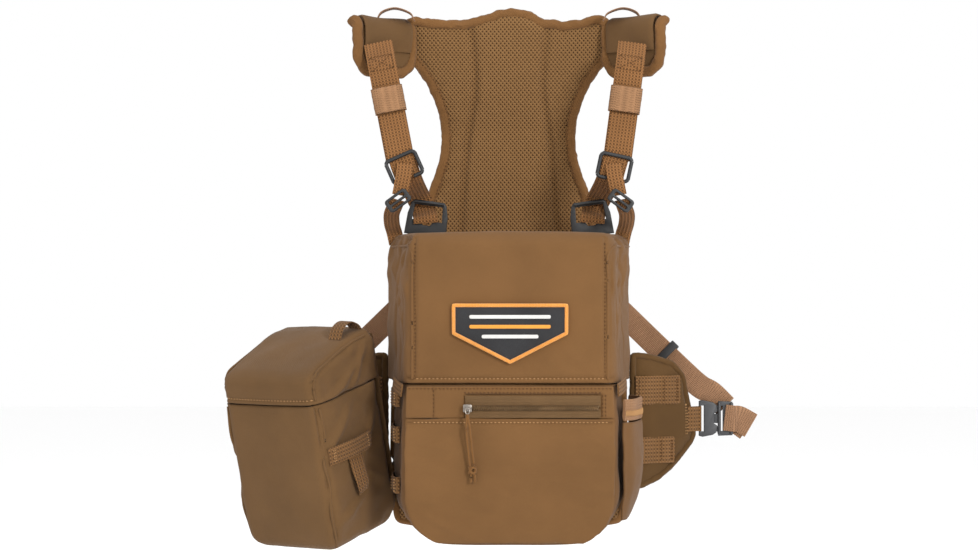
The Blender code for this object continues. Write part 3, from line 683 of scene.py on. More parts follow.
# ------------------------------------------------------------------ main lid
LB = -0.3045
bm = rbox((-0.1030, -0.1012, LB), (0.1030, -0.0008, -0.1824), 0.0135, 0.0020, drop=("-z", "+y"))
for v in bm.verts:
    p = v.co
    k = 0.838 + 0.162 * min(max((p.y + 0.100) / 0.100, -0.1), 1)
    flare = 1 - 0.026 * min(max((p.z - LB) / 0.12, 0), 1) * (1 if p.y < -0.05 else (-p.y) / 0.05)
    crown = 0.0016 * (1 - (p.x / 0.1) ** 2) if p.z > -0.20 else 0
    v.co = Vector((p.x * k * flare, p.y, p.z + crown))
def lid_f(p, n):
    d = 0.0006 * fbm(p, 18, 1) + wrinkle(p, 0.0006, 0.35, 22, 11)
    if n.y < -0.6:
        cx = 1 - min(abs(p.x) / 0.080, 1) ** 3
        d += 0.0022 * cx * math.sin(min(max((p.z - LB) / 0.118, 0), 1) * math.pi) ** 0.6
        d += groove(abs(p.x) - 0.0772, 0.0013, 0.0012) * (1 if p.z > LB + 0.004 else 0)
        d += groove(p.z - LB - 0.0036, 0.0013, 0.0012)
        for x0, z0, a_ in ((-0.062, -0.292, 0.7), (0.060, -0.290, -0.7), (0.050, -0.296, -0.25), (-0.030, -0.298, 0.15)):
            u = (p.x - x0) * math.cos(a_) + (p.z - z0) * math.sin(a_)
            w = -(p.x - x0) * math.sin(a_) + (p.z - z0) * math.cos(a_)
            d += 0.0009 * math.exp(-(u / 0.018) ** 2) * math.exp(-(w / 0.004) ** 2)
    elif abs(n.x) > 0.6:
        e = 1 / (1 + math.exp(-(-0.225 - p.z) / -0.012))
        d += wrinkle(p, 0.0030, 0.9, 34, 17) * (0.5 + e) - 0.0018 * math.exp(-((p.y + 0.045) / 0.03) ** 2)
        for y0, z0, a_ in ((-0.07, -0.205, 0.9), (-0.05, -0.222, 0.7), (-0.03, -0.212, 1.0), (-0.06, -0.245, 0.5)):
            u = (p.y - y0) * math.cos(a_) + (p.z - z0) * math.sin(a_)
            w = -(p.y - y0) * math.sin(a_) + (p.z - z0) * math.cos(a_)
            d += 0.0022 * math.exp(-(u / 0.020) ** 2) * math.exp(-(w / 0.0034) ** 2)
        for y0, dep in ((-0.079, 0.0022), (-0.060, 0.0016), (-0.038, 0.0018)):   # long upright folds
            q = p.y - y0 - 0.004 * math.sin((p.z + 0.24) * 45 + y0 * 80)
            d += groove(q, 0.0030, dep) * min(1, max(0, (p.z - LB) / 0.03))
    return d
displace(bm, lid_f)
hood = add("lid_shell", bm, "pack", "main_lid")
solidify(hood, 0.0020)
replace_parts(hood, "main_lid")
T_LID = tree_of(hood)
T_POCKET, T_BAND, T_BODY = tree_of(pocket), tree_of(band), tree_of(body)
FY = (0, -1, 0)
stitches("lid_side_stitching", [([(s * 0.0772, -0.1, -0.190), (s * 0.0772, -0.1, LB + 0.0045)], FY) for s in (-1, 1)], "thread", "main_lid", 0.0031, 0.00055, 0.55, tree=T_LID)
stitches("lid_stitching", [([(-0.0770, -0.1, LB + 0.0036), (0.0770, -0.1, LB + 0.0036)], FY)], "thread_light", "main_lid", 0.0033, 0.00056, 0.6, tree=T_LID)
stitches("pocket_stitching", [([(-0.0790, -0.1, -0.3362), (0.0800, -0.1, -0.3362)], FY)], "thread_light", tree=T_POCKET, pitch=0.0031, size=0.00056, fill=0.6)
stitches("band_stitching", [([(-0.0621, -0.1, -0.3090), (-0.0621, -0.1, -0.3322)], FY), ([(-0.0380, -0.1, -0.3120), (0.0745, -0.1, -0.3120)], FY),
         ([(-0.0830, -0.1, -0.3088), (0.0830, -0.1, -0.3088)], FY), ([(0.0752, -0.1, -0.3130), (0.0752, -0.1, -0.3322)], FY), ([(0.0775, -0.1, -0.3130), (0.0775, -0.1, -0.3322)], FY)],
         "thread", tree=T_BAND, pitch=0.0031, size=0.00050)
def piping_lid():
    for sx in (-1, 1):
        pts = []
        for q in [(-0.0040, None), (-0.02, None), (-0.045, None), (-0.07, None), (-0.088, None)]:
            h = T_LID.ray_cast(Vector((sx * 0.2, q[0], -0.1925)), Vector((-sx, 0, 0)))
            if h[0]:
                pts.append(h[0])
        for z in (-0.20, -0.22, -0.24, -0.26, -0.28, LB + 0.003):
            h = T_LID.ray_cast(Vector((sx * 0.0795, -0.3, z)), Vector((0, 1, 0)))
            if h[0]:
                pts.append(h[0])
        cordline(f"lid_piping_{'l' if sx < 0 else 'r'}", pts, 0.0011, "pack", "main_lid", n=70)
piping_lid()

# ------------------------------------------------------------------ patch: plain pile field, merrowed border, three plain bars
PATCH = [(-0.0475, -0.2405), (0.0475, -0.2405), (0.0475, -0.2640), (0.0, -0.2890), (-0.0475, -0.2640)]
def inset(pts, d):
    c = Vector((0, -0.2600))
    return [tuple(c + (Vector(p) - c) * (1 - d / (Vector(p) - c).length)) for p in pts]
PY = min(T_LID.ray_cast(Vector((x, -0.3, z)), Vector((0, 1, 0)))[0].y for x in (-0.02, 0, 0.02) for z in (-0.25, -0.27))
fld = plate("patch_pile", [inset(PATCH, 0.0012)], 0.0014, upright((0, PY - 0.0004, 0)), "field", "main_lid", 0.0003)
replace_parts(fld, "patch_field")
loop3 = [Vector((x, PY - 0.0011, z)) for x, z in inset(PATCH, 0.0018)]
dense = []
for a, b in zip(loop3, loop3[1:] + loop3[:1]):
    n_ = max(2, round((b - a).length / 0.0012))
    dense += [a.lerp(b, j / n_) for j in range(n_)]
brd = cordline("patch_border_roll", dense + [dense[0]], 0.0015, "amber", "main_lid", n=0, sides=10, flat=1.0, up=(0, 1, 0), cyclic=True)
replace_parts(brd, "patch_border")
whip = []
for i in range(0, len(dense), 1):
    p, q = dense[i], dense[(i + 1) % len(dense)]
    t = (q - p).normalized()
    s_ = t.cross(Vector(FY)).normalized()
    whip.append(([p - s_ * 0.0016 + Vector((0, -0.0007, 0)), p + s_ * 0.0016 + t * 0.0006 + Vector((0, -0.0007, 0))], FY))
stitches("patch_whip", whip, "amber", "main_lid", pitch=0.0034, size=0.00040, fill=0.95, lift=0.0007)
for i, (z, hw, kind) in enumerate(((-0.2505, 0.0330, "pale"), (-0.2585, 0.0330, "amber"), (-0.2665, 0.0230, "pale"))):
    plate(f"motif_bar_{i + 1}", [rounded(hw * 2, 0.0030, 0.0012, 3, 0, z)], 0.0009, upright((0, PY - 0.0015, 0)), kind, "main_lid", 0.0003)

# ------------------------------------------------------------------ back panel, side loops, sleeve
lo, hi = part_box("back_panel")
bm = rbox((lo.x + 0.002, lo.y + 0.0015, lo.z + 0.002), (hi.x - 0.002, hi.y - 0.0015, hi.z - 0.001), 0.0042, 0.004)
bp = puff(add("back_pad", bm, "mesh"), 2.5, 0.0045, 0.0022)
# the bound edge is held by the binding, so its outline keeps the cut size
px = [v.co.x for v in bp.data.vertices]
pz = [v.co.z for v in bp.data.vertices]
for v in bp.data.vertices:
    v.co.x = lo.x + 0.002 + (v.co.x - min(px)) * (hi.x - lo.x - 0.004) / (max(px) - min(px))
    v.co.z = lo.z + 0.002 + (v.co.z - min(pz)) * (hi.z - lo.z - 0.003) / (max(pz) - min(pz))
bp.data.update()
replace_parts(bp, "back_panel")
yb = (lo.y + hi.y) / 2
cordline("back_pad_binding", [(x, yb, z) for x, z in [(-0.090, hi.z), (0, hi.z + 0.0004), (0.090, hi.z), (0.0965, hi.z - 0.007), (0.0970, -0.31), (0.0965, lo.z + 0.02), (0.080, lo.z + 0.0015), (0, lo.z), (-0.080, lo.z + 0.0015), (-0.0965, lo.z + 0.02), (-0.0970, -0.31), (-0.0965, hi.z - 0.007), (-0.090, hi.z)]],
         0.0034, "binding", n=160, sides=12, cyclic=False)

for i, z in enumerate((-0.3180, -0.3475, -0.3890)):
    o = strap(f"side_webbing_{i + 1}", [(-0.0900, -0.0835, z), (-0.0938, -0.080, z), (-0.0968, -0.056, z), (-0.0978, -0.036, z), (-0.0976, -0.018, z), (-0.0972, -0.006, z)],
              0.0134, 0.0016, (-1, -0.1, 0), "web_dark", n=30, wave=0.0006, seed=i + 2.0)
    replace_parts(o, f"side_loop_{i + 1}")
    stitches(f"side_tack_{i + 1}", [([(-0.0985, y, z - 0.0058), (-0.0985, y, z + 0.0058)], (-1, -0.2, 0)) for y in (-0.0815, -0.0800, -0.0480, -0.0465, -0.0130)],
             "thread_light", tree=tree_of(o), pitch=0.0022)

def sleeve_path(z, dy=0.0, out=0.0):
    return [(0.0925 + out, -0.092 + dy, z), (0.1015 + out, -0.080, z), (0.1080 + out, -0.050, z), (0.1085 + out, -0.025, z), (0.1015 + out, -0.004, z)]
bm = bmesh.new()
rows = []
for i in range(45):
    t = i / 44
    z = -0.3370 - 0.0800 * t
    shrink = 1 - 0.55 * t ** 3.0
    row = []
    for p in path_of(sleeve_path(z), 44):
        x = 0.0905 + (p.x - 0.0905) * (shrink + 0.18 * math.sin(t * math.pi))
        row.append(bm.verts.new((x, p.y * (1 - 0.03 * t), z)))
    rows.append(row)
for a, b in zip(rows, rows[1:]):
    for j in range(44):
        bm.faces.new((a[j], a[j + 1], b[j + 1], b[j]))
bm.normal_update()
displace(bm, lambda p, n: wrinkle(p, 0.0012, 0.8, 42, 12) + 0.0007 * fbm(p, 30, 4))
# the sleeve uses the darker pack cloth, painted shade
sv = add("sleeve_panel", bm, "pack_side_shade")
solidify(sv, 0.0016, 0.0)
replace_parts(sv, "side_sleeve")
el = strap("sleeve_hem_elastic", sleeve_path(-0.3268, 0, 0.0006), 0.0175, 0.0024, (1, -0.15, 0), "elastic", n=60, wave=0.0010, seed=7.0)
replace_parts(el, "sleeve_elastic")
zz = []
pth = path_of(sleeve_path(-0.3268, 0, 0.0018), 60)
for i in range(58):
    zz.append(([pth[i] + Vector((0, 0, -0.0060 if i % 2 else 0.0004)), pth[i + 1] + Vector((0, 0, 0.0004 if i % 2 else -0.0060))], (0.8, -0.6, 0)))
stitches("sleeve_zigzag", zz, "thread_light", pitch=0.0072, size=0.00045, fill=0.92, tree=tree_of(el))
for sx in (-1, 1):
    o = strap(f"lid_corner_tab_{'l' if sx < 0 else 'r'}", [(sx * 0.0880, -0.0985, -0.3105), (sx * 0.0925, -0.0880, -0.3080), (sx * 0.0955, -0.0760, -0.3055)],
              0.0110, 0.0014, (sx, -0.5, 0), "web_dark", n=14, wave=0.0005)

# ------------------------------------------------------------------ yoke: spacer mesh pad, bound edge, shaped channel
YOKE = [(-0.208, 0.070), (-0.190, 0.0765), (-0.170, 0.0745), (-0.147, 0.0665), (-0.128, 0.0595), (-0.1125, 0.0550),
        (-0.096, 0.0540), (-0.080, 0.0555), (-0.066, 0.0595), (-0.052, 0.0655), (-0.038, 0.0745),
        (-0.028, 0.0835), (-0.012, 0.0855), (0.004, 0.0850)]
def half(z):
    for (z0, h0), (z1, h1) in zip(YOKE, YOKE[1:]):
        if z <= z1:
            t = (z - z0) / (z1 - z0)
            t = t * t * (3 - 2 * t) * 0.5 + t * 0.5
            return h0 + (h1 - h0) * t
    return YOKE[-1][1]
def yoke_y(x, z):
    return 0.072 - 0.26 * max(z + 0.09, 0) - 1.2 * x * x
def crest(x):
    return 0.0052 * math.cos(x * 60) + 0.0012 * math.sin(x * 110 + 1)
def channel(x, z):
    """Raised centre panel between two sewn creases that spread toward the bottom."""
    c = 0.0335 + 0.010 * min(max((-0.06 - z) / 0.14, 0), 1) - 0.004 * math.sin(min(max(-z / 0.1, 0), 1) * math.pi)
    d = abs(x) - c
    return -0.0036 * math.exp(-(d / 0.0030) ** 2) + 0.0022 / (1 + math.exp(d / 0.003))
bm = bmesh.new()
nz, nx = 110, 80
front, back = [], []
for i in range(nz + 1):
    z = -0.208 + 0.212 * i / nz
    fr, bk = [], []
    for j in range(nx + 1):
        u = 2 * j / nx - 1
        x = u * (half(z) - 0.001)
        zz_ = z + (crest(x) if True else 0) * max(0, (z + 0.04) / 0.044) if z > -0.04 else z
        edge = min(1, (1 - abs(u)) * half(z) / 0.010) ** 0.5
        edge *= min(1, max(0.02, (z + 0.208) / 0.008)) ** 0.5 * min(1, max(0.02, (0.004 - z) / 0.008)) ** 0.5
        y = yoke_y(x, z)
        t = 0.0018 + 0.0028 * edge
        ripple = 0.0010 * fbm((x, 0, z), 24, 5) + 0.0016 * math.exp(-((abs(x) - half(z)) / 0.014) ** 2) * noise.noise(Vector((x * 30, 0, z * 120)))
        fr.append(bm.verts.new((x, y - t - channel(x, z) * edge - ripple, zz_)))
        bk.append(bm.verts.new((x, y + t * 0.8 - ripple, zz_)))
    front.append(fr)
    back.append(bk)
for i in range(nz):
    for j in range(nx):
        bm.faces.new((front[i][j], front[i][j + 1], front[i + 1][j + 1], front[i + 1][j]))
        bm.faces.new((back[i][j], back[i + 1][j], back[i + 1][j + 1], back[i][j + 1]))
for i in range(nz):
    bm.faces.new((front[i][0], front[i + 1][0], back[i + 1][0], back[i][0]))
    bm.faces.new((front[i][nx], back[i][nx], back[i + 1][nx], front[i + 1][nx]))
for j in range(nx):
    bm.faces.new((front[0][j], back[0][j], back[0][j + 1], front[0][j + 1]))
    bm.faces.new((front[nz][j], front[nz][j + 1], back[nz][j + 1], back[nz][j]))
bmesh.ops.recalc_face_normals(bm, faces=bm.faces)
yoke = add("yoke_mesh_pad", bm, "mesh", angle=70)
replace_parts(yoke, "yoke_pad")
ring = [(x, z) for z in [-0.205 + 0.2085 * i / 40 for i in range(41)] for x in (half(z),)]
right = [Vector((x, yoke_y(x, z) - 0.0004, z + (crest(x) * max(0, (z + 0.04) / 0.044) if z > -0.04 else 0))) for x, z in ring]
top = [Vector((x, yoke_y(x, 0.004) - 0.0004, 0.004 + crest(x))) for x in [0.085 - 0.170 * i / 30 for i in range(1, 30)]]
left = [Vector((-p.x, p.y, p.z)) for p in reversed(right)]
bot = [Vector((-0.070 + 0.14 * i / 14, yoke_y(-0.070 + 0.14 * i / 14, -0.208), -0.207)) for i in range(1, 14)]
edge_pts = right + top + left + bot
def bind(name, pts, width, thick, mat, body=ROOT, closed=True, bunch=0.0):
    """Folded binding tape: a wrinkled flattened tube over the pad's edge."""
    pts = [Vector(p) for p in pts]
    fine = []
    for a, b in zip(pts, pts[1:] + ([pts[0]] if closed else [])):
        k = max(1, round((b - a).length / 0.0016))
        fine += [a.lerp(b, j / k) for j in range(k)]
    m = len(fine)
    for _ in range(3):
        if closed:
            fine = [(fine[i - 1] + fine[i] * 2 + fine[(i + 1) % m]) / 4 for i in range(m)]
        else:
            fine = [fine[0]] + [(fine[i - 1] + fine[i] * 2 + fine[i + 1]) / 4 for i in range(1, m - 1)] + [fine[-1]]
    bm = bmesh.new()
    rows = []
    L = 0.0
    for i, p in enumerate(fine):
        nxt = fine[(i + 1) % m] if closed else fine[min(i + 1, m - 1)]
        prv = fine[i - 1] if closed else fine[max(i - 1, 0)]
        t = (nxt - prv).normalized()
        nrm = Vector((0, -1, 0)) if abs(t.y) < 0.85 else Vector((0, 0, 1))
        nrm = (nrm - t * nrm.dot(t)).normalized()
        side = t.cross(nrm).normalized()
        L += (nxt - p).length
        w = width * (1 + 0.10 * noise.noise(Vector((L * 120, 2, 0))))
        p = p + side * bunch * noise.noise(Vector((L * 85, 5, 1)))
        row = []
        for j in range(14):
            a = 2 * math.pi * j / 14
            pu = 1 + 0.22 * noise.noise(Vector((L * 190, math.cos(a) * 2, math.sin(a) * 2)))
            row.append(bm.verts.new(p + side * (w / 2 * math.cos(a) * pu) + nrm * (thick / 2 * math.copysign(abs(math.sin(a)) ** 0.7, math.sin(a)) * pu)))
        rows.append(row)
    for i in range(len(rows) if closed else len(rows) - 1):
        a, b = rows[i], rows[(i + 1) % len(rows)]
        for j in range(14):
            bm.faces.new((a[j], a[(j + 1) % 14], b[(j + 1) % 14], b[j]))
    if not closed:
        bm.faces.new(rows[0])
        bm.faces.new(rows[-1])
    bmesh.ops.recalc_face_normals(bm, faces=bm.faces)
    return add(name, bm, mat, body, angle=60)
tuck = Vector((0.0870, yoke_y(0.087, -0.024) + 0.002, -0.0235))
low = [p for p in right if p.z < -0.029] + [tuck]
bind("yoke_binding", list(reversed(low)) + list(reversed(bot)) + [Vector((-p.x, p.y, p.z)) for p in low], 0.0088, 0.0094, "binding", closed=False)
bind("yoke_top_binding", [Vector((0.088, yoke_y(0.088, 0) - 0.003, -0.002))] + top + [Vector((-0.088, yoke_y(0.088, 0) - 0.003, -0.002))], 0.0084, 0.0094, "binding", closed=False, bunch=0.0016)
inner = [Vector((p.x * (1 - 0.0058 / max(abs(p.x), 0.03)), p.y - 0.0058, p.z)) for p in right + left]
T_YOKE = tree_of(bpy.data.objects["yoke_binding"])
stitches("yoke_stitching", [([Vector((p.x - 0.0030 * (1 if p.x > 0 else -1), p.y - 0.004, p.z)) for p in side], FY) for side in (right, left)], "thread", tree=T_YOKE, pitch=0.0032)

# ------------------------------------------------------------------ shoulder lobes, grab loops and webbing
for tag, sx in (("l", -1), ("r", 1)):
    lobe = rounded(0.0620, 0.0430, 0.016, 8)
    yaw = -sx * math.radians(44)
    mtx = upright((sx * 0.1065, 0.0150, -0.0215), 0.0, yaw)
    lp = puff(plate(f"lobe_pad_{tag}", [lobe], 0.0058, mtx, "lobe", bevel=0.0012), 4.0, 0.0028, 0.0030)
    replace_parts(lp, f"shoulder_lobe_{tag}")
    ringl = rounded(0.0610, 0.0440, 0.016, 10)
    u_run = [(x, y, 0.0) for x, y in ringl[11:33]]
    u_run = [(-0.0300, 0.0190, -0.0080), (-0.0303, 0.0215, -0.0030), (-0.0305, 0.0170, 0.0004)] + [(x, y, 0.0004) for x, y in ringl[22:44]] + [(0.0305, 0.0170, 0.0004), (0.0303, 0.0215, -0.0030), (0.0300, 0.0190, -0.0080)]
    bind(f"lobe_binding_{tag}", [mtx @ Vector(q) for q in u_run], 0.0092, 0.0088, "binding", closed=False, bunch=0.0008)
    m3 = mtx.to_3x3()
    strap(f"lobe_saddle_{tag}", [mtx @ Vector(q) for q in ((0, -0.0040, 0.0042), (0, 0.0080, 0.0058), (0, 0.0180, 0.0052), (0, 0.0238, 0.0006), (0, 0.0232, -0.0060), (0, 0.0180, -0.0100))],
          0.0530, 0.0028, lambda t: m3 @ Vector((0, math.sin(t * 3.3), math.cos(t * 3.3))), "lobe", n=40, cross=20, wave=0.0022, seed=21 + sx)
    outn = mtx.to_3x3() @ Vector((0, 0, 1))
    T_L = tree_of(lp)
    stitches(f"lobe_stitching_{tag}", [([mtx @ Vector((x, y, 0)) for x, y in rounded(0.0530, 0.0340, 0.013, 8)] + [mtx @ Vector((0.0265, 0.004, 0))], outn)], "thread", tree=T_L)
    g = strap(f"grab_ribbon_{tag}", [(sx * 0.0810, 0.022, 0.0016), (sx * 0.0850, 0.022, 0.0078), (sx * 0.0975, 0.021, 0.0118), (sx * 0.1090, 0.020, 0.0082), (sx * 0.1135, 0.019, 0.0006)],
              0.0160, 0.0011, lambda t, sx=sx: (sx * (t - 0.5) * 2, 0, 1.0 - abs(t - 0.5)), "belt", n=40)
    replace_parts(g, f"grab_loop_{tag}")
    if sx < 0:
        top, bot = Vector((-0.1090, -0.0190, -0.0300)), Vector((-0.0915, -0.0300, -0.1200))
    else:
        top, bot = Vector((0.1030, -0.0190, -0.0300)), Vector((0.0905, -0.0300, -0.1200))
    d = (bot - top).normalized()
    kside = d.cross(Vector(FY)).normalized()
    out = kside.cross(d).normalized()
    base_top = top - d * 0.010 + Vector((0, 0.0085, 0))
    w1 = strap(f"chest_webbing_{tag}", [base_top, top + d * 0.002 + Vector((0, 0.0030, 0)), top + d * 0.010, top.lerp(bot, 0.33), top.lerp(bot, 0.67), bot], 0.0240, 0.0019, FY, "web", n=70, cross=12, wave=0.0007, seed=3.0 + sx)
    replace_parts(w1, f"shoulder_webbing_{tag}")
    w2 = strap(f"chest_webbing_fold_{tag}", [top.lerp(bot, 0.575) + out * 0.0021, top.lerp(bot, 0.70) + out * 0.0022, top.lerp(bot, 0.90) + out * 0.0022, bot - d * 0.001 + out * 0.0012],
               0.0218, 0.0016, FY, "web", n=30, cross=12, wave=0.0004, seed=6.0 + sx)
    T_W = tree_of(w1)
    box_l = [top + d * 0.002 + kside * 0.0095, top + d * 0.002 - kside * 0.0095, top + d * 0.0145 - kside * 0.0095, top + d * 0.0145 + kside * 0.0095, top + d * 0.002 + kside * 0.0095]
    stitches(f"chest_box_stitch_{tag}", [(box_l, out), ([box_l[0], box_l[2]], out), ([box_l[1], box_l[3]], out)], "thread", tree=T_W, pitch=0.0026)
    # elastic keeper around the webbing
    kc = top.lerp(bot, 0.44) + out * 0.0012
    bm = bmesh.new()
    rows = []
    for i in range(19):
        t = i / 18
        row = []
        for a in range(40):
            th = 2 * math.pi * a / 40
            cx = math.copysign(abs(math.cos(th)) ** 0.28, math.cos(th))
            cy = math.copysign(abs(math.sin(th)) ** 0.35, math.sin(th))
            rad = 1 + 0.02 * noise.noise(Vector((t * 6, th * 2, 4)))
            row.append(bm.verts.new(kc + d * (0.0215 * (t - 0.5)) + kside * (cx * 0.0134 * rad) + out * (cy * 0.0042 * (1 + 0.10 * math.sin(t * math.pi)))))
        rows.append(row)
    uvl = bm.loops.layers.uv.new("UVMap")
    for i in range(18):
        for a in range(40):
            f = bm.faces.new((rows[i][a], rows[i][(a + 1) % 40], rows[i + 1][(a + 1) % 40], rows[i + 1][a]))
            for lp_, (aa, ii) in zip(f.loops, ((a, i), (a + 1, i), (a + 1, i + 1), (a, i + 1))):
                lp_[uvl].uv = (aa * 0.0015, ii * 0.0012)
    bmesh.ops.recalc_face_normals(bm, faces=bm.faces)
    kp = solidify(add(f"keeper_{tag}", bm, "elastic", f"webbing_keeper_{tag}"), 0.0011)
    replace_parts(kp, f"webbing_keeper_{tag}")
    # frame: rounded bar bent round its window, open in the lower side
    fl = math.radians(-24 if sx < 0 else 12)
    mf = upright((sx * 0.0880, -0.0340, -0.1265), -fl, 0)
    w, h, r = 0.0262, 0.0200, 0.0032
    ring = rounded(w, h, r, 5)
    k = len(ring)
    start = [(0.0010, -h / 2)]
    seq = [p for p in ring[k * 3 // 4:]] + [p for p in ring[:k * 3 // 4]]
    path2 = [(0.0045, -h / 2)] + seq[0:] + [(-0.0045, -h / 2)]
    fr = cordline(f"frame_bar_{tag}", [mf @ Vector((x, y, 0)) for x, y in path2], 0.00165, "black", n=110, sides=12)
    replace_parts(fr, f"upper_frame_{tag}")
    strap(f"frame_webbing_{tag}", [mf @ Vector(q) for q in ((0.0, 0.0130, -0.0030), (0.0, 0.0070, -0.0022), (-0.0006, 0.0, -0.0016), (-0.0010, -0.0085, -0.0020))],
          0.0205, 0.0018, FY, "web", n=20, wave=0.0006, seed=31 + sx)
    ls = strap(f"lower_webbing_{tag}", [(sx * 0.0878, -0.0312, -0.1170), (sx * 0.0865, -0.0290, -0.1265), (sx * 0.0820, -0.0150, -0.1400), (sx * 0.0775, 0.0050, -0.1500), (sx * 0.0742, 0.0105, -0.1565), (sx * 0.0724, 0.0085, -0.1625), (sx * 0.0712, 0.0016, -0.1680), (sx * 0.0708, 0.0010, -0.1725)],
               0.0205, 0.0019, FY, "web", n=40, wave=0.0008, seed=9 + sx)
    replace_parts(ls, f"lower_strap_{tag}")
    ab = [[(-0.0180, -0.0120), (0.0180, -0.0120), (0.0172, 0.0060), (0.0148, 0.0158), (0.0126, 0.0180), (-0.0126, 0.0180), (-0.0148, 0.0158), (-0.0172, 0.0060)],
          [(-0.0128, 0.0010), (-0.0055, 0.0010), (-0.0030, -0.0030), (0.0030, -0.0030), (0.0055, 0.0010), (0.0128, 0.0010), (0.0118, 0.0140), (-0.0118, 0.0140)]]
    abp = plate(f"attach_frame_{tag}", ab, 0.0042, upright((sx * 0.0700, 0.0050, -0.1715), sx * math.radians(8), 0), "black", bevel=0.0009)
    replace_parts(abp, f"attach_buckle_{tag}")
    cordline(f"attach_bar_{tag}", [upright((sx * 0.0700, 0.0022, -0.1715), sx * math.radians(8), 0) @ Vector((x, 0.0162, 0)) for x in (-0.0125, 0, 0.0125)], 0.0014, "black", n=12)
    tw = strap(f"tether_short_{tag}", [(sx * 0.0872, -0.0360, -0.1235), (sx * 0.0880, -0.0382, -0.1320), (sx * 0.0895, -0.0388, -0.1400), (sx * 0.0915, -0.0378, -0.1500)], 0.0132, 0.0016, FY, "web", n=24, cross=8, wave=0.0006, seed=11)
    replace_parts(tw, f"tether_web_{tag}")
    ta = plate(f"tether_buckle_{tag}", [rounded(0.0215, 0.0120, 0.0030, 5), rounded(0.0150, 0.0028, 0.0008, 2, cy=0.0022), rounded(0.0150, 0.0022, 0.0008, 2, cy=-0.0026)], 0.0030,
               upright((sx * 0.0930, -0.0400, -0.1545), sx * math.radians(-36), 0), "black", bevel=0.0008)
    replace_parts(ta, f"tether_adjuster_{tag}")
    tt = strap(f"tether_end_{tag}", [(sx * 0.0935, -0.0378, -0.1540), (sx * 0.0965, -0.0330, -0.1600), (sx * 0.0990, -0.0220, -0.1660), (sx * 0.0992, -0.0070, -0.1735), (sx * 0.0975, 0.0045, -0.1810), (sx * 0.0955, 0.0060, -0.1900)],
               0.0134, 0.0016, lambda t: (0, -1, -1.7 * math.cos(math.pi / 2 * t * t)), "web", n=50, cross=8, wave=0.0010, seed=13 + sx)
    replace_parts(tt, f"tether_tail_{tag}")

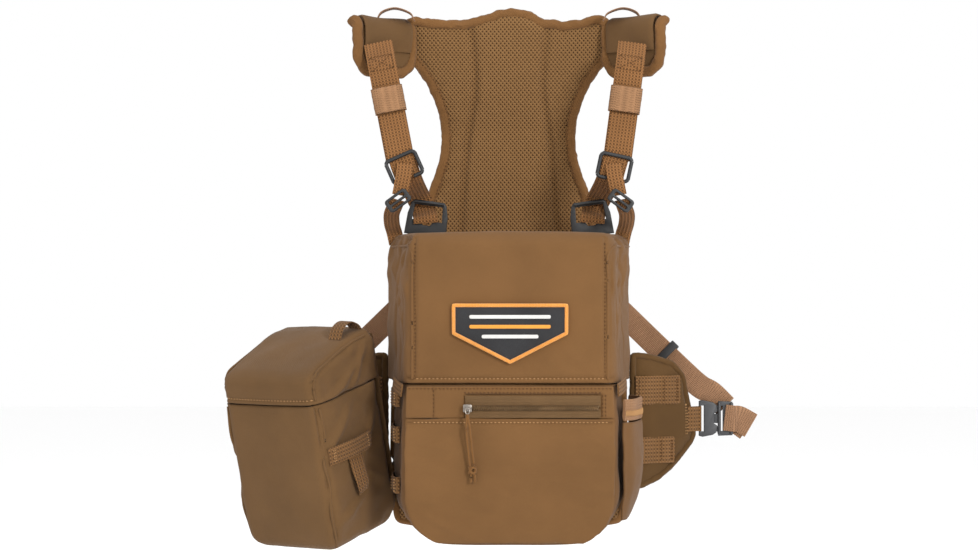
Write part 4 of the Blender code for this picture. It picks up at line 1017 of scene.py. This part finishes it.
# ------------------------------------------------------------------ belt wings, buckles, belt straps
WING = [(0.0, -0.2830), (0.018, -0.2850), (0.041, -0.2910), (0.0520, -0.3020), (0.0640, -0.3540), (0.0615, -0.3600),
        (0.0430, -0.3790), (0.0270, -0.3910), (0.0080, -0.3980), (0.0, -0.3980)]
for tag, sx, yaw0 in (("l", -1, 35), ("r", 1, 30)):
    base = Matrix.Translation(Vector((sx * 0.1045, 0.006, 0))) @ Matrix.Rotation(sx * math.radians(yaw0), 4, "Z")
    stand = base @ Matrix.Rotation(math.radians(90), 4, "X")
    c = Vector((0.030, -0.340))
    shape = [tuple(c + (Vector(p) - c) * 0.985) for p in WING]
    wp = puff(plate(f"wing_pad_{tag}", [[(sx * x, z) for x, z in shape]], 0.0056, stand, "wing", bevel=0.0012), 3.0, 0.0030, 0.0026)
    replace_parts(wp, f"wing_{tag}")
    out = base.to_3x3() @ Vector((0, -1, 0))
    bind(f"wing_edge_{tag}", [stand @ Vector((sx * x, z, 0)) for x, z in [tuple(c + (Vector(p) - c) * 0.965) for p in WING]], 0.0058, 0.0072, "wing")
    T_P = tree_of(wp)
    for k, (z, h, a, b) in enumerate(((-0.3150, 0.0240, 0.0005, 0.046), (-0.3660, 0.0220, 0.0005, 0.040))):
        if sx < 0 and k == 1:
            continue
        wr = strap(f"wing_row_{tag}_{k + 1}", [base @ Vector((sx * (a + (b - a) * t), -0.0048 - 0.0008 * math.sin(t * math.pi * 2) ** 2, z)) for t in (0, 0.25, 0.5, 0.75, 1)],
                   h + 0.0006, 0.0017, tuple(out), "web_dark", n=40, cross=14, wave=0.0005, seed=k + 1.0)
        if sx > 0:
            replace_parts(wr, f"wing_webbing_{tag}_{k + 1}")
        T_R = tree_of(wr)
        tacks = []
        for u in (a + 0.003, (a + b) / 2 + 0.006, b - 0.0025, b - 0.0040):
            tacks.append(([base @ Vector((sx * u, -0.006, z - h / 2 + 0.002)), base @ Vector((sx * u, -0.006, z + h / 2 - 0.002))], out))
        stitches(f"wing_tacks_{tag}_{k + 1}", tacks, "thread", tree=T_R, pitch=0.0026, size=0.0005)
    stitches(f"wing_box_stitch_{tag}", [([base @ Vector((sx * u, -0.006, -0.3270)), base @ Vector((sx * u, -0.006, -0.3540))], out) for u in (0.0520, 0.0535)], "thread_light", tree=T_P, pitch=0.0024)
    end = base @ Vector((sx * 0.0648, 0, -0.3405))
    by, bx, bz = end.y + 0.0012, abs(end.x) + 0.0036, -0.3405
    tb = strap(f"buckle_webbing_{tag}", [base @ Vector((sx * 0.0540, -0.0046, bz)), base @ Vector((sx * 0.0600, -0.0046, bz)), (sx * (bx - 0.0010), by - 0.0036, bz), (sx * (bx + 0.0020), by - 0.0036, bz)],
               0.0215, 0.0018, (0, -1, 0), "web_dark", n=20, wave=0.0004)
    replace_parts(tb, f"buckle_tab_{tag}")
    hs = [[(0.0, -0.0150), (0.0030, -0.0158), (0.0120, -0.0140), (0.0150, -0.0118), (0.0158, -0.0060), (0.0130, -0.0042), (0.0130, 0.0042), (0.0158, 0.0060), (0.0150, 0.0118), (0.0120, 0.0140), (0.0030, 0.0158), (0.0, 0.0150)],
          [(0.0018, -0.0112), (0.0044, -0.0112), (0.0044, 0.0112), (0.0018, 0.0112)]]
    for side, dy in (("front", -0.00235), ("rear", 0.00245)):
        ho = plate(f"housing_{side}_{tag}", [[(sx * (bx + a), bz + b) for a, b in lp] for lp in hs], 0.0021, upright((0, by + dy, 0)), "grey", bevel=0.0006)
        if side == "front":
            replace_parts(ho, f"buckle_housing_{tag}")
    for s_ in (1, -1):
        block(f"housing_rail_{'a' if s_ > 0 else 'b'}_{tag}", (0.0095, 0.0058, 0.0022), Matrix.Translation((sx * (bx + 0.0062), by, bz + s_ * 0.01345)), "grey", bevel=0.0007)
    pl = [[(0.0048, -0.0030), (0.0165, -0.0042), (0.0165, -0.0065), (0.0080, -0.0082), (0.0064, -0.0104), (0.0088, -0.0116), (0.0158, -0.0112), (0.0168, -0.0150), (0.0290, -0.0145), (0.0290, 0.0145), (0.0168, 0.0150),
           (0.0158, 0.0112), (0.0088, 0.0116), (0.0064, 0.0104), (0.0080, 0.0082), (0.0165, 0.0065), (0.0165, 0.0042), (0.0048, 0.0030)],
          [(0.0185, -0.0108), (0.0205, -0.0108), (0.0205, 0.0108), (0.0185, 0.0108)], [(0.0238, -0.0112), (0.0264, -0.0112), (0.0264, 0.0112), (0.0238, 0.0112)]]
    po = plate(f"plug_body_{tag}", [[(sx * (bx + a), bz + b) for a, b in lp] for lp in pl], 0.0025, upright((0, by, 0)), "grey", f"plug_{tag}", 0.0006)
    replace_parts(po, f"buckle_plug_{tag}")
    block(f"plug_ridge_{tag}", (0.0030, 0.0052, 0.0275), Matrix.Translation((sx * (bx + 0.0281), by - 0.0006, bz)), "grey", f"plug_{tag}", 0.0010)
    block(f"plug_shoulder_{tag}", (0.0026, 0.0056, 0.0285), Matrix.Translation((sx * (bx + 0.0176), by - 0.0004, bz)), "grey", f"plug_{tag}", 0.0009)
    t1 = strap(f"belt_tail_front_{tag}", [(sx * (bx + 0.0220), by - 0.0030, bz + 0.0010), (sx * (bx + 0.0300), by - 0.0034, bz), (sx * (bx + 0.0350), by - 0.0014, bz - 0.0006), (sx * (bx + 0.0450), by - 0.0012, bz - 0.0062)],
               0.0224, 0.0016, FY, "belt", f"plug_{tag}", n=24, wave=0.0007, seed=2)
    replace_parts(t1, f"belt_tail_{tag}")
    strap(f"belt_tail_rear_{tag}", [(sx * (bx + 0.0220), by + 0.0030, bz - 0.0006), (sx * (bx + 0.0290), by + 0.0032, bz - 0.0014), (sx * (bx + 0.0340), by + 0.0014, bz - 0.0032), (sx * (bx + 0.0420), by + 0.0012, bz - 0.0088)],
          0.0220, 0.0016, FY, "belt", f"plug_{tag}", n=24, wave=0.0007, seed=5)
    a, b = Vector((sx * 0.1058, 0.0640, -0.2558)), Vector((sx * 0.1470, 0.0520, -0.2960))
    bs = strap(f"belt_webbing_{tag}", [(sx * 0.0540, 0.0760, -0.2020), (sx * 0.0560, 0.0765, -0.2040), (sx * 0.0830, 0.0720, -0.2330), a, b, (sx * 0.1650, by + 0.0080, -0.3125), (sx * 0.1760, by + 0.0070, -0.3190), (sx * (bx + 0.0235), by + 0.0050, bz + 0.0100)],
               0.0206, 0.0017, FY, "belt", n=110, wave=0.0003, seed=4 + sx)
    if True:
        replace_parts(bs, f"belt_strap_{tag}")
    d = (b - a).normalized()
    kx = Vector((0, -1, 0)).cross(d).normalized()
    ky = d.cross(kx).normalized()
    km = Matrix.Translation(a.lerp(b, 0.74)) @ Matrix((kx, ky, d)).transposed().to_4x4()
    ko = plate(f"belt_slider_{tag}", [rounded(0.0262, 0.0088, 0.0014, 4), rounded(0.0230, 0.0060, 0.0008, 3)], 0.0072, km, "black", f"belt_keeper_{tag}", 0.0005)
    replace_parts(ko, f"belt_keeper_{tag}")

# ------------------------------------------------------------------ accessory pouch
ACC = Matrix.Translation(Vector((-0.1680, -0.0385, -0.350))) @ Matrix.Rotation(math.radians(-35), 4, "Z") @ Matrix.Rotation(math.radians(14), 4, "X")
AI = ACC.inverted()
w, d = 0.050, 0.044
bm = rbox((-w + 0.0005, -d + 0.0005, -0.0888), (w - 0.0005, d - 0.0005, 0.0378), 0.010, 0.0019, drop=("+z",))
for v in bm.verts:
    t = min(max((-0.0560 - v.co.z) / 0.033, 0), 1)
    k = 1 - 0.30 * (1 - (1 - t ** 2.4) ** (1 / 2.4))
    v.co.x *= k
    v.co.y *= 1 - 0.14 * (1 - (1 - t ** 2.4) ** (1 / 2.4))
def acc_f(p, n):
    d_ = 0.0007 * fbm(p, 26, 8) + wrinkle(p, 0.0008, 0.5, 30, 21)
    if n.y < -0.6:
        d_ += 0.0026 * (1 - min(abs(p.x) / 0.05, 1) ** 3) * math.sin(min(max((p.z + 0.085) / 0.115, 0), 1) * math.pi) ** 0.6
        d_ += groove(abs(p.x) - 0.0455, 0.0008, 0.0007)
    if abs(n.x) > 0.6:
        d_ += wrinkle(p, 0.0034, 0.8, 36, 31) + groove(abs(p.y) - 0.0395, 0.0009, 0.0008)
        for y0, z0, a_ in ((-0.02, 0.010, 0.7), (0.005, -0.030, -0.5), (-0.015, -0.055, 0.4), (0.02, 0.0, 1.0)):
            u = (p.y - y0) * math.cos(a_) + (p.z - z0) * math.sin(a_)
            q = -(p.y - y0) * math.sin(a_) + (p.z - z0) * math.cos(a_)
            d_ += 0.0030 * math.exp(-(u / 0.022) ** 2) * math.exp(-(q / 0.0036) ** 2)
    return d_
displace(bm, acc_f)
bmesh.ops.transform(bm, matrix=ACC, verts=bm.verts)
ab = add("accessory_shell", bm, "acc")
solidify(ab, 0.0020)
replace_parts(ab, "accessory_body")
bm = rbox((-0.0445, -0.0385, 0.0300), (0.0445, 0.0385, 0.0500), 0.0075, 0.003, drop=("+z", "-z"))
bmesh.ops.transform(bm, matrix=ACC, verts=bm.verts)
solidify(add("accessory_collar", bm, "acc"), 0.0014)
bm = rbox((-w, -d, 0.0395), (w, d - 0.0006, 0.0800), 0.0105, 0.0018, drop=("-z", "+y"))
for v in bm.verts:
    p = v.co
    if p.z > 0.0395:
        k = (p.z - 0.0395) / 0.0405
        rise = 0.0405 - 0.0185 * min(max((0.030 - p.y) / 0.074, 0), 1) ** 1.3
        p.z = 0.0395 + k * rise
def acc_lid_f(p, n):
    d_ = 0.0008 * fbm(p, 24, 12) + wrinkle(p, 0.0009, 0.6, 26, 41)
    if n.y < -0.5 or n.z > 0.6:
        d_ += 0.0020 * (1 - min(abs(p.x) / 0.05, 1) ** 3)
        d_ += groove(abs(p.x) - 0.0450, 0.0009, 0.0008)
    if n.y < -0.6:
        d_ += groove(p.z - 0.0430, 0.0012, 0.0010)
    if abs(n.x) > 0.6:
        d_ += wrinkle(p, 0.0024, 0.8, 46, 51) - 0.0012
        for y0, z0, a_ in ((0.0, 0.050, 0.5), (0.018, 0.055, 0.9), (-0.015, 0.042, 0.2)):
            u = (p.y - y0) * math.cos(a_) + (p.z - z0) * math.sin(a_)
            q = -(p.y - y0) * math.sin(a_) + (p.z - z0) * math.cos(a_)
            d_ += 0.0028 * math.exp(-(u / 0.018) ** 2) * math.exp(-(q / 0.0034) ** 2)
    return d_
displace(bm, acc_lid_f)
bmesh.ops.transform(bm, matrix=ACC, verts=bm.verts)
al = add("accessory_hood", bm, "acc", "accessory_lid")
solidify(al, 0.0020)
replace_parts(al, "accessory_lid")
A3 = ACC.to_3x3()
T_A, T_AL = tree_of(ab), tree_of(al)
def acc_line(pts):
    return [ACC @ Vector(p) for p in pts]
stitches("accessory_lid_stitch", [(acc_line([(-0.046, -d, 0.0430), (0.046, -d, 0.0430)]), A3 @ Vector((0, -1, 0)))], "thread_light", "accessory_lid", 0.0032, 0.00050, 0.6, tree=T_AL)
for sx in (-1, 1):
    pts, ptl = [], []
    for z in (0.035, 0.01, -0.01, -0.03, -0.05, -0.066, -0.078, -0.084):
        t = min(max((-0.0560 - z) / 0.033, 0), 1)
        k = 1 - 0.30 * (1 - (1 - t ** 2.4) ** (1 / 2.4))
        h = T_A.ray_cast(ACC @ Vector((sx * 0.0468 * k, -0.2, z)), A3 @ Vector((0, 1, 0)))
        if h[0]:
            pts.append(h[0])
    cordline(f"accessory_piping_{'l' if sx < 0 else 'r'}", pts, 0.0011, "acc", n=60)
    for q in ((-0.2, 0.0425), (-0.2, 0.047), (-0.2, 0.053)):
        h = T_AL.ray_cast(ACC @ Vector((sx * 0.0468, q[0], q[1])), A3 @ Vector((0, 1, 0)))
        if h[0]:
            ptl.append(h[0])
    for y in (-0.034, -0.020, 0.0, 0.020, 0.036):
        h = T_AL.ray_cast(ACC @ Vector((sx * 0.0464, y, 0.2)), A3 @ Vector((0, 0, -1)))
        if h[0]:
            ptl.append(h[0])
    cordline(f"accessory_lid_piping_{'l' if sx < 0 else 'r'}", ptl, 0.0011, "acc", "accessory_lid", n=60)
bm = rbox((-0.0465, d + 0.0012, -0.0720), (0.0465, d + 0.0036, 0.0765), 0.0011, 0.004)
bmesh.ops.transform(bm, matrix=ACC, verts=bm.verts)
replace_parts(add("accessory_rear_panel", bm, "acc"), "accessory_back")
sb = strap("accessory_side_webbing", acc_line([(w + 0.0006, -0.0385, -0.006), (w + 0.0026, -0.030, -0.006), (w + 0.0046, -0.012, -0.006), (w + 0.0034, 0.008, -0.006), (w + 0.0004, 0.018, -0.006)]),
           0.0145, 0.0016, lambda t: A3 @ Vector((1, 0, 0)), "web_dark", n=40, wave=0.0008)
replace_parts(sb, "accessory_side_band")
stitches("accessory_band_tacks", [(acc_line([(w + 0.003, y, -0.0115), (w + 0.003, y, -0.0005)]), A3 @ Vector((1, 0, 0))) for y in (-0.0340, -0.0325, 0.0110)], "thread_light", tree=tree_of(sb), pitch=0.0022)
hl = strap("accessory_hanging_webbing", acc_line([(w + 0.0014, -0.006, -0.0135), (w + 0.0044, -0.007, -0.0250), (w + 0.0056, -0.006, -0.0380), (w + 0.0030, -0.004, -0.0450)]),
           lambda t: 0.0185 * (1 - 0.35 * t), 0.0017, lambda t: A3 @ Vector((1, 0, 0)), "web_dark", n=26, wave=0.0012, seed=8)
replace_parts(hl, "accessory_hang_loop")
ms = strap("accessory_mount_webbing", acc_line([(0.0, d + 0.0052, 0.050), (0.0, d + 0.0060, 0.0), (0.0, d + 0.0052, -0.050)]), 0.0238, 0.0016, lambda t: A3 @ Vector((0, 1, 0)), "web_dark", n=40)
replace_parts(ms, "accessory_mount_strap")
pl = strap("accessory_pull_tab", acc_line([(0.033, 0.0130, 0.0790), (0.033, 0.0190, 0.0870), (0.033, 0.0295, 0.0900), (0.034, 0.0385, 0.0850), (0.035, 0.0420, 0.0765)]),
           0.0130, 0.0013, lambda t: A3 @ Vector((0, (t - 0.5) * 2, 1.0 - abs(t - 0.5))), "web_dark", "accessory_lid", n=36, wave=0.0005)
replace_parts(pl, "accessory_pull_loop")

# ------------------------------------------------------------------ floor
bm = bmesh.new()
bmesh.ops.create_grid(bm, x_segments=2, y_segments=2, size=6.0)
me = bpy.data.meshes.new("floor")
bm.to_mesh(me)
bm.free()
floor = bpy.data.objects.new("floor", me)
COL.objects.link(floor)
floor.location = (0, 0, -0.62)
fm, n_, l_, b_ = mat_new("pale_floor", 0.8)
b_.inputs["Base Color"].default_value = (0.96, 0.96, 0.96, 1)
me.materials.append(fm)
